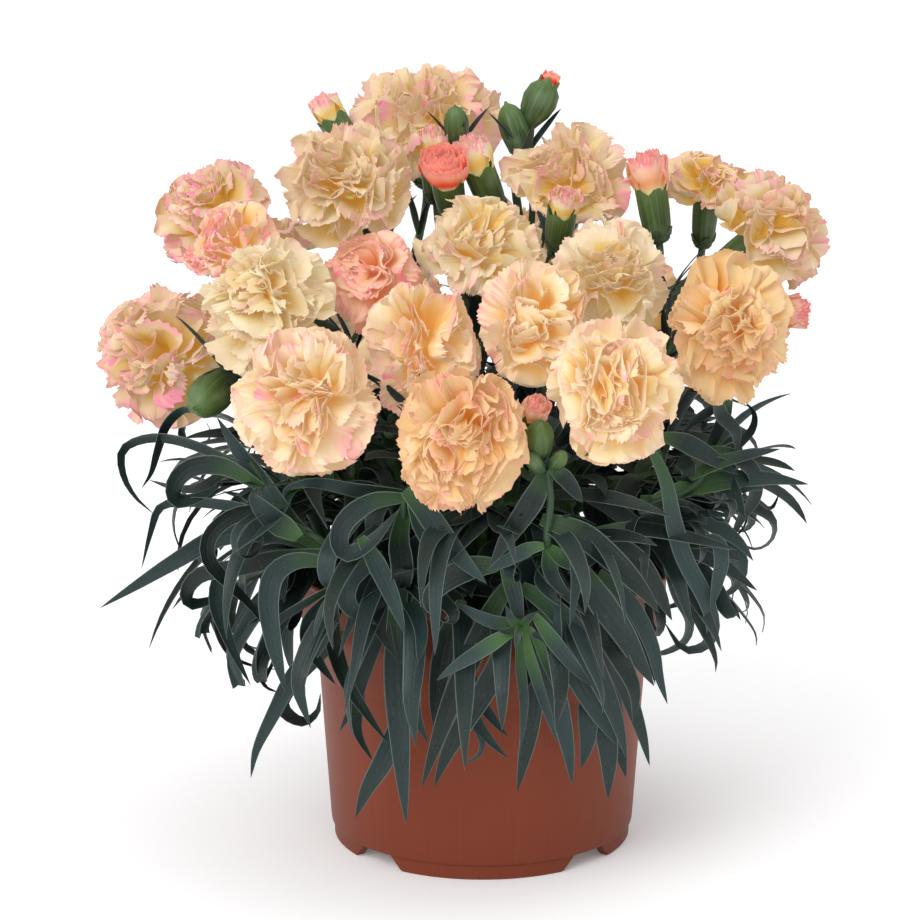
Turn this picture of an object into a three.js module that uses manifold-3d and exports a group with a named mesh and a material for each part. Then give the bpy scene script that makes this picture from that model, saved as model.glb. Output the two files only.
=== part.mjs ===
// A pot carnation (dianthus) in its plastic nursery pot.
// Millimetres, +Z up, the plant's front faces -Y. Every solid is closed and stands clear of its neighbours.
// The pot's axis is the working axis; the last lines move the whole plant over its own middle.

import * as THREE from 'three';
import { mergeVertices } from 'three/addons/utils/BufferGeometryUtils.js';
import Module from 'manifold-3d';

const wasm = await Module();
wasm.setup();

// ---------------------------------------------------------------- driving dimensions

const GAP = 0.3; // clear space between pieces that touch on the real plant
const POT_HEIGHT = 97;
const RIM_RADIUS = 65;
const WALL = 1.2;
const FOOT_HEIGHT = 5;
const FOOT_RADIUS = 50.6;
const FOOT_WIDTH = 3.4;
const POT_SIDES = 32;
// The pot body's outer radius at its base, below its step, above its step and under its lip.
const BODY = { base: 51.6, waist: 55.5, shoulder: 62.2, neck: 62.5 };
const WAIST_HEIGHT = 61;
const SHOULDER_HEIGHT = 80;
const DRAIN_HOLE = { radius: 4, from_middle: 32 };
const SOIL_TOP = 88;
const SOIL_MOUND = 3;
const HOLE_DEPTH = 10;
const STEM_RADIUS = 1.7;
const BRANCH_RADIUS = 1.3;
const LEAF_THICKNESS = 0.9;
const SMALLEST_EDGE = 0.03; // where pieces are joined, edges shorter than this are drawn together
const CALYX_LENGTH = 18;
const CALYX_RADIUS = 5.6;
const RIM_CLEARANCE = 7; // how far the low leaves stay from the rim as they pass over it
const CORE_RADIUS = 38; // the flower stems rise inside this radius, below the canopy
const CANOPY_HEIGHT = 133; // the leaves end here and the flower stems spread above it
const LOW_SHOOTS = 8;
const TALL_SHOOTS = 6;

// The low leaves live inside this dome and the tall leaves outside it.
const DOME = { middle: 36, radius: 114, height: 97 };

// The low leaves hang inside this cone, which widens above its height.
const SKIRT = { radius: 82, height: 40, slope: 0.42 };
const TALL_REACH = 122; // the tall leaves end this far from the pot's axis

// ---------------------------------------------------------------- small helpers

const UP = new THREE.Vector3(0, 0, 1);

function degrees(angle) {
  return THREE.MathUtils.degToRad(angle);
}

function mix(a, b, share) {
  return a + (b - a) * share;
}

/** A seeded row of numbers between 0 and 1. */
function seededDraw(seed) {
  let state = seed >>> 0;
  return () => {
    state = (Math.imul(state, 1664525) + 1013904223) >>> 0;
    return state / 4294967296;
  };
}

/** Bends a number smoothly so that it never passes the limit. */
function keepBelow(value, limit, softness) {
  const over = value - (limit - softness);
  if (over <= 0) return value;
  return limit - softness + softness * Math.tanh(over / softness);
}

function keepAbove(value, limit, softness) {
  return -keepBelow(-value, -limit, softness);
}

/** A unit vector from its compass angle and its rise above the horizon, both in degrees. */
function direction(compass, rise) {
  const flat = Math.cos(degrees(rise));
  const x = flat * Math.cos(degrees(compass));
  const y = flat * Math.sin(degrees(compass));
  return new THREE.Vector3(x, y, Math.sin(degrees(rise)));
}

function around(radius, compass, height) {
  return new THREE.Vector3(radius * Math.cos(degrees(compass)), radius * Math.sin(degrees(compass)), height);
}

// ---------------------------------------------------------------- solids

/** Joins two neighbouring rings of points; one may be a single point or have twice the other's count. */
function stitch(faces, lower, upper) {
  const count = Math.max(lower.length, upper.length);
  if (lower.length === 1 || upper.length === 1) {
    for (let i = 0; i < count; i += 1) {
      const next = (i + 1) % count;
      if (lower.length === 1) faces.push(lower[0], upper[next], upper[i]);
      else faces.push(lower[i], lower[next], upper[0]);
    }
  } else if (lower.length === upper.length) {
    for (let i = 0; i < count; i += 1) {
      const next = (i + 1) % count;
      faces.push(lower[i], lower[next], upper[next]);
      faces.push(lower[i], upper[next], upper[i]);
    }
  } else if (upper.length === 2 * lower.length) {
    for (let i = 0; i < lower.length; i += 1) {
      const next = (i + 1) % lower.length;
      const after = (2 * i + 2) % count;
      faces.push(lower[i], upper[2 * i + 1], upper[2 * i]);
      faces.push(lower[i], lower[next], upper[2 * i + 1]);
      faces.push(lower[next], upper[after], upper[2 * i + 1]);
    }
  } else {
    for (let i = 0; i < upper.length; i += 1) {
      const next = (i + 1) % upper.length;
      const after = (2 * i + 2) % count;
      faces.push(lower[2 * i], lower[2 * i + 1], upper[i]);
      faces.push(lower[2 * i + 1], upper[next], upper[i]);
      faces.push(lower[2 * i + 1], lower[after], upper[next]);
    }
  }
}

/** A closed skin over rings of points, from its bottom point to its top point, each ring anticlockwise. */
function skin(rings) {
  const points = rings.flat();
  const faces = [];
  let start = 0;
  const numbered = rings.map((ring) => {
    const numbers = ring.map((point, i) => start + i);
    start += ring.length;
    return numbers;
  });
  for (let i = 0; i + 1 < numbered.length; i += 1) {
    stitch(faces, numbered[i], numbered[i + 1]);
  }
  const geometry = new THREE.BufferGeometry().setFromPoints(points);
  geometry.setIndex(faces);
  return geometry;
}

function solid(geometry) {
  const bare = geometry.clone();
  bare.deleteAttribute('normal');
  bare.deleteAttribute('uv');
  const merged = mergeVertices(bare, 1e-4);
  const vertProperties = new Float32Array(merged.attributes.position.array);
  const triVerts = new Uint32Array(merged.index.array);
  return new wasm.Manifold(new wasm.Mesh({ numProp: 3, vertProperties, triVerts }));
}

/** Joins geometries into one solid, with any sealed hollow filled. */
function fuse(geometries) {
  const whole = geometries.map(solid).reduce((joined, piece) => joined.add(piece)).simplify(SMALLEST_EDGE);
  return whole.decompose().reduce((best, piece) => (piece.volume() > best.volume() ? piece : best));
}

function finish(name, whole, material) {
  const { vertProperties, triVerts } = whole.getMesh();
  const geometry = new THREE.BufferGeometry();
  geometry.setAttribute('position', new THREE.BufferAttribute(vertProperties, 3));
  geometry.setIndex(new THREE.BufferAttribute(triVerts, 1));
  geometry.computeVertexNormals();
  const mesh = new THREE.Mesh(geometry, material);
  mesh.name = name;
  return mesh;
}

/** Turns a geometry that was made along +Z towards a direction and puts it in place. */
function aim(geometry, place, towards) {
  const turn = new THREE.Quaternion().setFromUnitVectors(UP, towards);
  return geometry.applyQuaternion(turn).translate(place.x, place.y, place.z);
}

/** A smooth curve through evenly numbered points. */
function smoothCurve(points) {
  return new THREE.CatmullRomCurve3(points, false, 'catmullrom', 0.5);
}

/** A stem of even thickness along a curve. */
function stem(curve, radius, sides, steps) {
  const corners = Array.from({ length: sides }, (unused, i) => {
    const angle = (2 * Math.PI * i) / sides;
    return new THREE.Vector2(radius * Math.cos(angle), radius * Math.sin(angle));
  });
  const outline = new THREE.Shape(corners);
  return new THREE.ExtrudeGeometry(outline, { steps, bevelEnabled: false, extrudePath: curve });
}

/** The swollen joint of a stem, where its leaves or branches start. */
function swelling(place, radius) {
  return new THREE.OctahedronGeometry(radius).translate(place.x, place.y, place.z);
}

// ---------------------------------------------------------------- materials

function paint(colour, roughness) {
  return new THREE.MeshStandardMaterial({ color: colour, roughness, metalness: 0, flatShading: true });
}

// ---------------------------------------------------------------- pot

const BODY_PROFILE = [
  [BODY.base, FOOT_HEIGHT],
  [BODY.waist, WAIST_HEIGHT],
  [59.4, 73],
  [BODY.shoulder, SHOULDER_HEIGHT],
  [BODY.neck, POT_HEIGHT - 3],
];

function buildPot() {
  const inside = BODY_PROFILE.slice(1, 4).map(([radius, height]) => [radius - WALL, height]);
  const profile = [
    [0, FOOT_HEIGHT],
    [FOOT_RADIUS - FOOT_WIDTH, FOOT_HEIGHT],
    [FOOT_RADIUS - FOOT_WIDTH, 0],
    [FOOT_RADIUS, 0],
    [FOOT_RADIUS, FOOT_HEIGHT],
    ...BODY_PROFILE,
    [RIM_RADIUS, POT_HEIGHT - 2],
    [RIM_RADIUS, POT_HEIGHT],
    [BODY.neck - WALL, POT_HEIGHT],
    ...inside.reverse(),
    [BODY.base - WALL, FOOT_HEIGHT + WALL],
    [0, FOOT_HEIGHT + WALL],
  ];
  const outline = profile.map(([radius, height]) => new THREE.Vector2(radius, height));
  const wall = new THREE.LatheGeometry(outline, POT_SIDES).rotateX(Math.PI / 2);
  let pot = solid(wall);

  // Four notches on the diagonals leave four feet; their flanks slope.
  const notch = new THREE.Shape([
    new THREE.Vector2(-11, -1),
    new THREE.Vector2(11, -1),
    new THREE.Vector2(6, FOOT_HEIGHT),
    new THREE.Vector2(-6, FOOT_HEIGHT),
  ]);
  for (let quarter = 0; quarter < 4; quarter += 1) {
    const cutter = new THREE.ExtrudeGeometry(notch, { depth: 20, bevelEnabled: false });
    cutter.rotateX(Math.PI / 2).translate(0, -38, 0);
    cutter.rotateZ(degrees(45 + 90 * quarter));
    pot = pot.subtract(solid(cutter));
  }
  for (let hole = 0; hole < 4; hole += 1) {
    const { radius, from_middle } = DRAIN_HOLE;
    const drain = new THREE.CylinderGeometry(radius, radius, 5 * WALL, 8).rotateX(Math.PI / 2);
    const place = around(from_middle, 45 + 90 * hole, FOOT_HEIGHT + WALL / 2);
    drain.translate(place.x, place.y, place.z);
    pot = pot.subtract(solid(drain));
  }
  return finish('pot', pot, paint(0x96503c, 0.45));
}

/** The root ball: it fills the pot and has a plain hole round the foot of each stem. */
function buildSoil(stemFeet) {
  const inset = WALL + 2 * GAP;
  const bottom = FOOT_HEIGHT + WALL + GAP;
  const profile = [
    [0, bottom],
    [BODY.base - inset, bottom],
    [BODY.waist - inset, WAIST_HEIGHT],
    [BODY.shoulder - inset, SHOULDER_HEIGHT],
    [BODY.shoulder - inset, SOIL_TOP - 2],
    [26, SOIL_TOP + SOIL_MOUND],
    [0, SOIL_TOP + SOIL_MOUND],
  ];
  const outline = profile.map(([radius, height]) => new THREE.Vector2(radius, height));
  let soil = solid(new THREE.LatheGeometry(outline, POT_SIDES).rotateX(Math.PI / 2));
  const holeRadius = STEM_RADIUS + 1;
  const holeTop = SOIL_TOP + SOIL_MOUND + 4;
  const holeBottom = SOIL_TOP - HOLE_DEPTH - 1;
  for (const foot of stemFeet) {
    const bore = new THREE.CylinderGeometry(holeRadius, holeRadius, holeTop - holeBottom, 5);
    bore.rotateX(Math.PI / 2).translate(foot.x, foot.y, (holeTop + holeBottom) / 2);
    soil = soil.subtract(solid(bore));
  }
  return finish('soil', soil, paint(0x2c2019, 0.95));
}

// ---------------------------------------------------------------- leaves

// The clear shell of the dome, as shares of its size, and how softly the leaves bend at it.
const DOME_SHELL = { inside: 0.955, outside: 1.04, inner_softness: 0.12, outer_softness: 0.06 };
const WEDGE_SOFTNESS = { forward: 4, sideways: 7 };
const LOW_NEAREST = 40; // the low leaves start at least this far from the pot's axis
const REACH_SOFTNESS = { low: 6, tall: 8 };
// Outside this radius the canopy's ceiling rises, by this slope.
const CEILING = { radius: 96, slope: 0.45, softness: 5 };

/** Changes how far out in the dome a point is; 1 is on the dome. */
function changeReach(point, change) {
  const depth = point.clone().setZ(point.z - DOME.middle);
  const reach = Math.hypot(Math.hypot(depth.x, depth.y) / DOME.radius, depth.z / DOME.height);
  const changed = depth.multiplyScalar(change(reach) / reach);
  return changed.setZ(changed.z + DOME.middle);
}

/** Keeps a point of a low leaf in its wedge, inside the dome and outside the pot. */
function lowRoom(compass, halfAngle) {
  return (point, margin) => {
    let kept = keepInWedge(point, compass, halfAngle, margin, LOW_NEAREST);
    kept = changeReach(kept, (reach) => keepBelow(reach, DOME_SHELL.inside, DOME_SHELL.inner_softness));
    const skirt = SKIRT.radius + SKIRT.slope * Math.max(0, kept.z - SKIRT.height);
    kept = keepWithin(kept, skirt, REACH_SOFTNESS.low);
    kept = keepInWedge(kept, compass, halfAngle, margin, LOW_NEAREST);
    if (Math.hypot(kept.x, kept.y) < RIM_RADIUS + RIM_CLEARANCE) {
      kept.z = keepAbove(kept.z, POT_HEIGHT + RIM_CLEARANCE, 1);
    }
    return kept;
  };
}

/** Keeps a point of a tall leaf in its wedge, outside the dome and under the canopy. */
function tallRoom(compass, halfAngle) {
  return (point, margin) => {
    let kept = keepInWedge(point, compass, halfAngle, margin, CORE_RADIUS + 4);
    kept = changeReach(kept, (reach) => keepAbove(reach, DOME_SHELL.outside, DOME_SHELL.outer_softness));
    const out = Math.hypot(kept.x, kept.y);
    const ceiling = CANOPY_HEIGHT + CEILING.slope * Math.max(0, out - CEILING.radius);
    kept.z = keepBelow(kept.z, ceiling, CEILING.softness);
    return keepWithin(kept, TALL_REACH, REACH_SOFTNESS.tall);
  };
}

/** Keeps a point within a radius of the pot's axis. */
function keepWithin(point, radius, softness) {
  const out = Math.hypot(point.x, point.y);
  const share = keepBelow(out, radius, softness) / out;
  return new THREE.Vector3(point.x * share, point.y * share, point.z);
}

function keepInWedge(point, compass, halfAngle, margin, nearest) {
  const ahead = direction(compass, 0);
  const across = direction(compass + 90, 0);
  const forward = keepAbove(point.dot(ahead), nearest, WEDGE_SOFTNESS.forward);
  const width = forward * Math.tan(degrees(halfAngle)) - margin / Math.cos(degrees(halfAngle));
  const sideways = point.dot(across);
  const kept = Math.sign(sideways) * keepBelow(Math.abs(sideways), width, WEDGE_SOFTNESS.sideways);
  return new THREE.Vector3().addScaledVector(ahead, forward).addScaledVector(across, kept).setZ(point.z);
}

const LEAF_STEPS = 24;
const STEEPEST_FALL = 86; // a hanging leaf falls at most this steeply, in degrees below the horizon

// A strap leaf along its length: how far along each ring is, and its share of the greatest width.
const LEAF_RINGS = [
  { along: 0, width: 0.3 },
  { along: 0.07, width: 0.78 },
  { along: 0.3, width: 1 },
  { along: 0.55, width: 0.94 },
  { along: 0.8, width: 0.62 },
  { along: 1, width: 0 },
];

/**
 * A strap leaf: flat above, with a keel below. It arches over from its root and is bent clear of its
 * room's walls. compass and rise are its first direction, bend is how many degrees it falls over, sooner
 * with a small droop, and drift is how far it turns sideways.
 */
function leaf(root, compass, habit, room) {
  const { length, width, rise, bend, droop, drift, twist } = habit;
  const centres = [];
  const place = root.clone();
  for (let i = 0; i <= LEAF_STEPS; i += 1) {
    const along = i / LEAF_STEPS;
    const tilt = Math.max(rise - bend * along ** droop, -STEEPEST_FALL);
    centres.push(i === 0 ? place.clone() : room(place, width / 2));
    place.addScaledVector(direction(compass + drift * along ** 1.5, tilt), length / LEAF_STEPS);
  }
  const curve = smoothCurve(centres);
  const rings = [];
  let side = new THREE.Vector3();
  LEAF_RINGS.forEach(({ along, width: share }, i) => {
    const centre = curve.getPoint(along);
    const ahead = curve.getTangent(along);
    const level = new THREE.Vector3().crossVectors(ahead, UP);
    if (i === 0 || level.length() > 0.35) side = level.normalize();
    else side = side.clone().addScaledVector(ahead, -side.dot(ahead)).normalize();
    const turned = side.clone().applyAxisAngle(ahead, degrees(twist * along));
    const above = new THREE.Vector3().crossVectors(turned, ahead);
    if (share === 0) {
      rings.push([centre]);
      return;
    }
    const half = (width / 2) * share;
    const right = centre.clone().addScaledVector(turned, half);
    const keel = centre.clone().addScaledVector(above, -LEAF_THICKNESS);
    const left = centre.clone().addScaledVector(turned, -half);
    rings.push([right, keel, left]);
  });
  const start = rings[0].reduce((sum, point) => sum.add(point), new THREE.Vector3()).divideScalar(3);
  return skin([[start.addScaledVector(curve.getTangent(0), -0.4)], ...rings]);
}

/** A leafy shoot: its stem and pairs of leaves that fan out, the lowest pair furthest to the sides. */
function leafyShoot(seed, line, compass, pairs, room) {
  const draw = seededDraw(seed);
  const pieces = [stem(line, STEM_RADIUS, 4, 5)];
  for (const pair of pairs) {
    const place = line.getPoint(pair.at);
    for (const side of [-1, 1]) {
      const heading = compass + side * pair.fan + 14 * (draw() - 0.5);
      const habit = {
        length: pair.length * mix(0.86, 1.12, draw()),
        width: pair.width * mix(0.9, 1.1, draw()),
        rise: pair.rise + 14 * (draw() - 0.5),
        bend: pair.bend * mix(0.8, 1.16, draw()),
        droop: pair.droop,
        drift: -side * pair.fan * mix(0.7, 1.1, draw()),
        twist: 60 * (draw() - 0.5),
      };
      pieces.push(leaf(place, heading, habit, room));
    }
  }
  return fuse(pieces);
}

const LOW_PAIRS = [
  { at: 0.62, length: 98, width: 7.6, rise: 24, bend: 112, droop: 0.75, fan: 72 },
  { at: 0.8, length: 114, width: 8.2, rise: 34, bend: 122, droop: 0.6, fan: 46 },
  { at: 0.97, length: 106, width: 8, rise: 48, bend: 136, droop: 0.62, fan: 22 },
];

const TALL_PAIRS = [
  { at: 0.78, length: 84, width: 8, rise: 8, bend: 66, droop: 1, fan: 78 },
  { at: 0.88, length: 94, width: 8.4, rise: 16, bend: 76, droop: 1.1, fan: 52 },
  { at: 0.95, length: 86, width: 7.8, rise: 24, bend: 72, droop: 1.2, fan: 28 },
  { at: 1, length: 62, width: 7, rise: 34, bend: 54, droop: 1.2, fan: 10 },
];

// Each shoot stands in the middle of its own wedge.
const LOW_WEDGE = 360 / LOW_SHOOTS;
const TALL_WEDGE = 360 / TALL_SHOOTS;

const LOW_FEET = Array.from({ length: LOW_SHOOTS }, (unused, i) => {
  return around(47, LOW_WEDGE * (i + 0.5), SOIL_TOP - HOLE_DEPTH);
});

const TALL_FEET = Array.from({ length: TALL_SHOOTS }, (unused, i) => {
  return around(CORE_RADIUS - 3, TALL_WEDGE * (i + 0.5), SOIL_TOP - HOLE_DEPTH);
});

function buildLowShoot(foot, number) {
  const compass = LOW_WEDGE * (number + 0.5);
  const draw = seededDraw(900 + number);
  const reach = mix(66, 74, draw());
  const height = mix(106, 110, draw());
  const line = smoothCurve([
    foot,
    foot.clone().setZ(SOIL_TOP + 4),
    around(51, compass, SOIL_TOP + 16),
    around(reach, compass + 12 * (draw() - 0.5), height),
  ]);
  const whole = leafyShoot(100 + number, line, compass, LOW_PAIRS, lowRoom(compass, LOW_WEDGE / 2));
  return finish(`low_shoot_${number + 1}`, whole, paint(0x47635f, 0.6));
}

function buildTallShoot(foot, number) {
  const compass = TALL_WEDGE * (number + 0.5);
  const draw = seededDraw(950 + number);
  const line = smoothCurve([
    foot,
    foot.clone().setZ(SOIL_TOP + 8),
    around(CORE_RADIUS - 3, compass, 118),
    around(mix(52, 62, draw()), compass + 10 * (draw() - 0.5), 128),
  ]);
  const whole = leafyShoot(200 + number, line, compass, TALL_PAIRS, tallRoom(compass, TALL_WEDGE / 2));
  return finish(`tall_shoot_${number + 1}`, whole, paint(0x506e66, 0.6));
}

// ---------------------------------------------------------------- blooms

// Where each bloom's middle is, which way it faces (compass and rise in degrees), how wide and, where it
// isn't fully out, how open it is.
const BLOOMS = [
  { name: 'top', at: [-19, 40, 247], compass: -90, rise: 72, radius: 28, colour: 0xf3dcb4 },
  { name: 'upper_left', at: [-46, -5, 228], compass: -105, rise: 40, radius: 24, colour: 0xf0d8a8 },
  { name: 'far_left', at: [-91, 16, 216], compass: -150, rise: 50, radius: 21.5, colour: 0xf3d3b0 },
  {
    name: 'pink_left',
    at: [-83, -22, 212],
    compass: -150,
    rise: 45,
    radius: 15.5,
    open: 0.6,
    colour: 0xf2aca6,
  },
  { name: 'left', at: [-70, -50, 196], compass: -115, rise: 35, radius: 24, colour: 0xf2e0b4 },
  { name: 'left_edge', at: [-107, -15, 171], compass: -140, rise: 8, radius: 25, colour: 0xf4cfa6 },
  { name: 'front_left', at: [-57, -84, 173], compass: -98, rise: 12, radius: 24, colour: 0xf4cb98 },
  { name: 'salmon', at: [-36, -30, 198], compass: -110, rise: 30, radius: 16.5, open: 0.6, colour: 0xf0a888 },
  { name: 'peach', at: [-18, -50, 187], compass: -100, rise: 30, radius: 20.5, open: 0.9, colour: 0xf4c093 },
  { name: 'front', at: [-7, -97, 161], compass: -90, rise: -8, radius: 24, colour: 0xefc184 },
  { name: 'middle', at: [1, -18, 210], compass: -90, rise: 62, radius: 22, colour: 0xf4e0ba },
  {
    name: 'inner_right',
    at: [17, -62, 195],
    compass: -100,
    rise: 30,
    radius: 19.5,
    open: 0.9,
    colour: 0xf4c79c,
  },
  { name: 'upper_right', at: [27, 8, 231], compass: -90, rise: 50, radius: 21.5, colour: 0xf3cda8 },
  { name: 'right', at: [43, -32, 203], compass: -75, rise: 45, radius: 21, colour: 0xf1dba6 },
  { name: 'front_right', at: [41, -92, 178], compass: -88, rise: 5, radius: 23, colour: 0xf3d49e },
  { name: 'right_edge', at: [80, -48, 189], compass: -72, rise: 10, radius: 24, colour: 0xf0cc94 },
  {
    name: 'small_right',
    at: [75, 24, 223],
    compass: -90,
    rise: 80,
    radius: 15.5,
    open: 0.7,
    colour: 0xf4c8b4,
  },
  { name: 'far_right', at: [96, -4, 214], compass: -20, rise: 40, radius: 23, colour: 0xf3d3ac },
  { name: 'back_left', at: [-75, 50, 184], compass: 145, rise: 32, radius: 23, colour: 0xf2d6a8 },
  { name: 'back_middle', at: [-34, 86, 166], compass: 108, rise: 18, radius: 23, colour: 0xf1cf9c },
  { name: 'back', at: [14, 92, 184], compass: 86, rise: 30, radius: 24, colour: 0xf3dcb0 },
  { name: 'back_right', at: [58, 78, 166], compass: 58, rise: 18, radius: 23, colour: 0xf2d0a2 },
  { name: 'back_edge', at: [90, 42, 172], compass: 20, rise: 15, radius: 22, colour: 0xf3cfac },
];

// The petals of a bloom stand in whorls of five, outermost first. Reach and height are shares of the
// bloom's radius, at the whorl's rim and in the fold above it, where the next whorl starts.
const WHORLS = [
  { reach: 1, height: 0.24, ruffle: 0.08, foldReach: 0.48, foldHeight: 0.26 },
  { reach: 0.93, height: 0.5, ruffle: 0.08, foldReach: 0.4, foldHeight: 0.5 },
  { reach: 0.76, height: 0.73, ruffle: 0.07, foldReach: 0.28, foldHeight: 0.68 },
  { reach: 0.5, height: 0.92, ruffle: 0.06, foldReach: 0.13, foldHeight: 0.78 },
];

// The rim of one petal: its notch, its two shoulders and the dip between them.
const PETAL_RIM = [
  { reach: 0.66, lift: -0.4 },
  { reach: 0.98, lift: 1 },
  { reach: 0.92, lift: -1 },
  { reach: 1, lift: 0.8 },
];
const PETALS = 5;
const RIM_POINTS = PETALS * PETAL_RIM.length;
// Blooms nearer than this share of both radii press each other, as softly as this many millimetres.
const PRESSING = { within: 1.25, softness: 5 };

const MIDDLE = 0.4; // a bloom's middle above the mouth of its calyx, as a share of its radius

for (const bloom of BLOOMS) {
  bloom.open ??= 1;
  bloom.centre = new THREE.Vector3(...bloom.at);
  bloom.facing = direction(bloom.compass, bloom.rise);
  bloom.mouth = bloom.centre.clone().addScaledVector(bloom.facing, -MIDDLE * bloom.radius);
  bloom.foot = bloom.mouth.clone().addScaledVector(bloom.facing, -CALYX_LENGTH);
}

/** The rings of a bloom's skin: its underside, then a rim and a fold for each whorl of petals. */
function bloomRings(radius, open, draw) {
  const turn = 360 * draw();
  const extra = (1 - open) * 0.5;
  const under = [];
  for (let i = 0; i < RIM_POINTS; i += 2) {
    under.push(around(radius * 0.5, turn + (360 * i) / RIM_POINTS, radius * (0.13 + 0.3 * extra)));
  }
  const rings = [[new THREE.Vector3(0, 0, GAP)], under];
  WHORLS.forEach((shape, level) => {
    const rim = [];
    const fold = [];
    for (let i = 0; i < RIM_POINTS; i += 1) {
      const part = PETAL_RIM[(i + 2 * level) % PETAL_RIM.length];
      const angle = turn + (360 * i) / RIM_POINTS;
      const reach = radius * shape.reach * part.reach * mix(0.94, 1.04, draw());
      const height = shape.height + extra + shape.ruffle * part.lift * mix(0.6, 1.2, draw());
      rim.push(around(reach, angle + 7 * (draw() - 0.5), radius * height));
      if (i % 2 === 0) {
        fold.push(around(radius * shape.foldReach, angle, radius * (shape.foldHeight + extra * 0.8)));
      }
    }
    rings.push(rim, fold);
  });
  const crown = [];
  for (let i = 0; i < RIM_POINTS; i += 2) {
    const lift = i % 4 === 0 ? 0.96 : 0.86;
    crown.push(around(radius * 0.22, turn + (360 * i) / RIM_POINTS, radius * (lift + extra * 0.8)));
  }
  rings.push(crown, [new THREE.Vector3(0, 0, radius * (0.8 + extra * 0.8))]);
  return rings;
}

/** Neighbouring blooms press together: this bends a petal's points back from the flat between them. */
function pressFrom(point, bloom) {
  const kept = point.clone();
  for (const other of BLOOMS) {
    const apart = other.centre.clone().sub(bloom.centre);
    const distance = apart.length();
    if (other === bloom || distance > PRESSING.within * (bloom.radius + other.radius)) continue;
    const towards = apart.divideScalar(distance);
    const limit = (distance * bloom.radius) / (bloom.radius + other.radius) - GAP;
    const reach = kept.clone().sub(bloom.centre).dot(towards);
    kept.addScaledVector(towards, keepBelow(reach, limit, PRESSING.softness) - reach);
  }
  return kept;
}

function buildBloom(bloom, number) {
  const rings = bloomRings(bloom.radius, bloom.open, seededDraw(300 + number));
  const placed = aim(skin(rings), bloom.mouth, bloom.facing);
  const position = placed.attributes.position;
  for (let i = 0; i < position.count; i += 1) {
    const kept = pressFrom(new THREE.Vector3().fromBufferAttribute(position, i), bloom);
    position.setXYZ(i, kept.x, kept.y, kept.z);
  }
  return finish(`bloom_${bloom.name}`, fuse([placed]), paint(bloom.colour, 0.7));
}

// ---------------------------------------------------------------- buds

// Opening buds whose coloured petals show: mouth of the calyx, direction, radius and length of the petals.
const OPENING_BUDS = [
  {
    name: 'rosette',
    at: [-12, 5, 226],
    compass: -110,
    rise: 62,
    radius: 8.5,
    length: 13,
    colour: 0xe0685c,
  },
  { name: 'cream', at: [0, 13, 227], compass: -150, rise: 66, radius: 5.6, length: 12, colour: 0xf2d9b8 },
  {
    name: 'top_left',
    at: [-50, 28, 246],
    compass: 170,
    rise: 58,
    radius: 5.2,
    length: 11,
    colour: 0xf3c3ae,
  },
  { name: 'top_right', at: [20, 30, 250], compass: 10, rise: 55, radius: 4.6, length: 8, colour: 0xd8506c },
  { name: 'small', at: [26, -14, 219], compass: -80, rise: 60, radius: 5.2, length: 9, colour: 0xf0a59c },
  { name: 'coral', at: [56, 3, 222], compass: 160, rise: 80, radius: 6.6, length: 16, colour: 0xee9c94 },
  {
    name: 'right_edge',
    at: [98, -9, 184],
    compass: -15,
    rise: 12,
    radius: 5.6,
    length: 11,
    colour: 0xeab4a0,
  },
  { name: 'front', at: [15, -74, 168], compass: -85, rise: 30, radius: 5.2, length: 8, colour: 0xee8f7c },
];

// Closed green buds: mouth, direction and radius.
const GREEN_BUDS = [
  { name: 'top', at: [10, 28, 242], compass: 150, rise: 65, radius: 4.5 },
  { name: 'left', at: [-88, -38, 165], compass: -135, rise: 15, radius: 6.4 },
  { name: 'front', at: [20, -94, 163], compass: -80, rise: 55, radius: 4.2 },
  { name: 'front_low', at: [15, -94, 155], compass: -130, rise: 40, radius: 3.2 },
  { name: 'front_side', at: [24, -92, 154], compass: -50, rise: 40, radius: 3.2 },
];

for (const bud of OPENING_BUDS) {
  bud.mouth = new THREE.Vector3(...bud.at);
  bud.facing = direction(bud.compass, bud.rise);
  bud.foot = bud.mouth.clone().addScaledVector(bud.facing, -CALYX_LENGTH * 0.95);
}

for (const bud of GREEN_BUDS) {
  bud.mouth = new THREE.Vector3(...bud.at);
  bud.facing = direction(bud.compass, bud.rise);
  bud.foot = bud.mouth.clone().addScaledVector(bud.facing, -3.1 * bud.radius);
}

/** The rolled petals at a bud's tip, folded round each other. */
function buildBudPetals(bud, number) {
  const draw = seededDraw(500 + number);
  const levels = [
    { height: 0.3, reach: 0.84, fold: 0.1 },
    { height: 0.66, reach: 1, fold: 0.16 },
    { height: 0.95, reach: 0.72, fold: 0.3 },
  ];
  const rings = levels.map((level, i) => {
    return Array.from({ length: 10 }, (unused, corner) => {
      const fold = corner % 2 === 0 ? 1 : 1 - level.fold;
      const radius = bud.radius * level.reach * fold * mix(0.94, 1.04, draw());
      const height = bud.length * level.height * (corner % 2 === 0 ? 1 : 0.93);
      return around(radius, 36 * corner + 14 * i, height + GAP);
    });
  });
  const bottom = [new THREE.Vector3(0, 0, GAP)];
  const top = [new THREE.Vector3(0, 0, bud.length * 0.86)];
  const geometry = aim(skin([bottom, ...rings, top]), bud.mouth, bud.facing);
  return finish(`bud_petals_${bud.name}`, fuse([geometry]), paint(bud.colour, 0.6));
}

// ---------------------------------------------------------------- flower sprays

/** A stalk that leaves its fork towards a flower and meets it along the flower's own axis. */
function stalkCurve(fork, flower) {
  const distance = fork.distanceTo(flower.foot);
  const early = fork.clone().lerp(flower.foot, 0.35);
  early.z += distance * 0.12;
  const late = flower.foot.clone().addScaledVector(flower.facing, -distance * 0.38);
  return new THREE.CubicBezierCurve3(fork, early, late, flower.foot);
}

function fiveAround(radius, height) {
  return [0, 72, 144, 216, 288].map((angle) => around(radius, angle, height));
}

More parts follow.
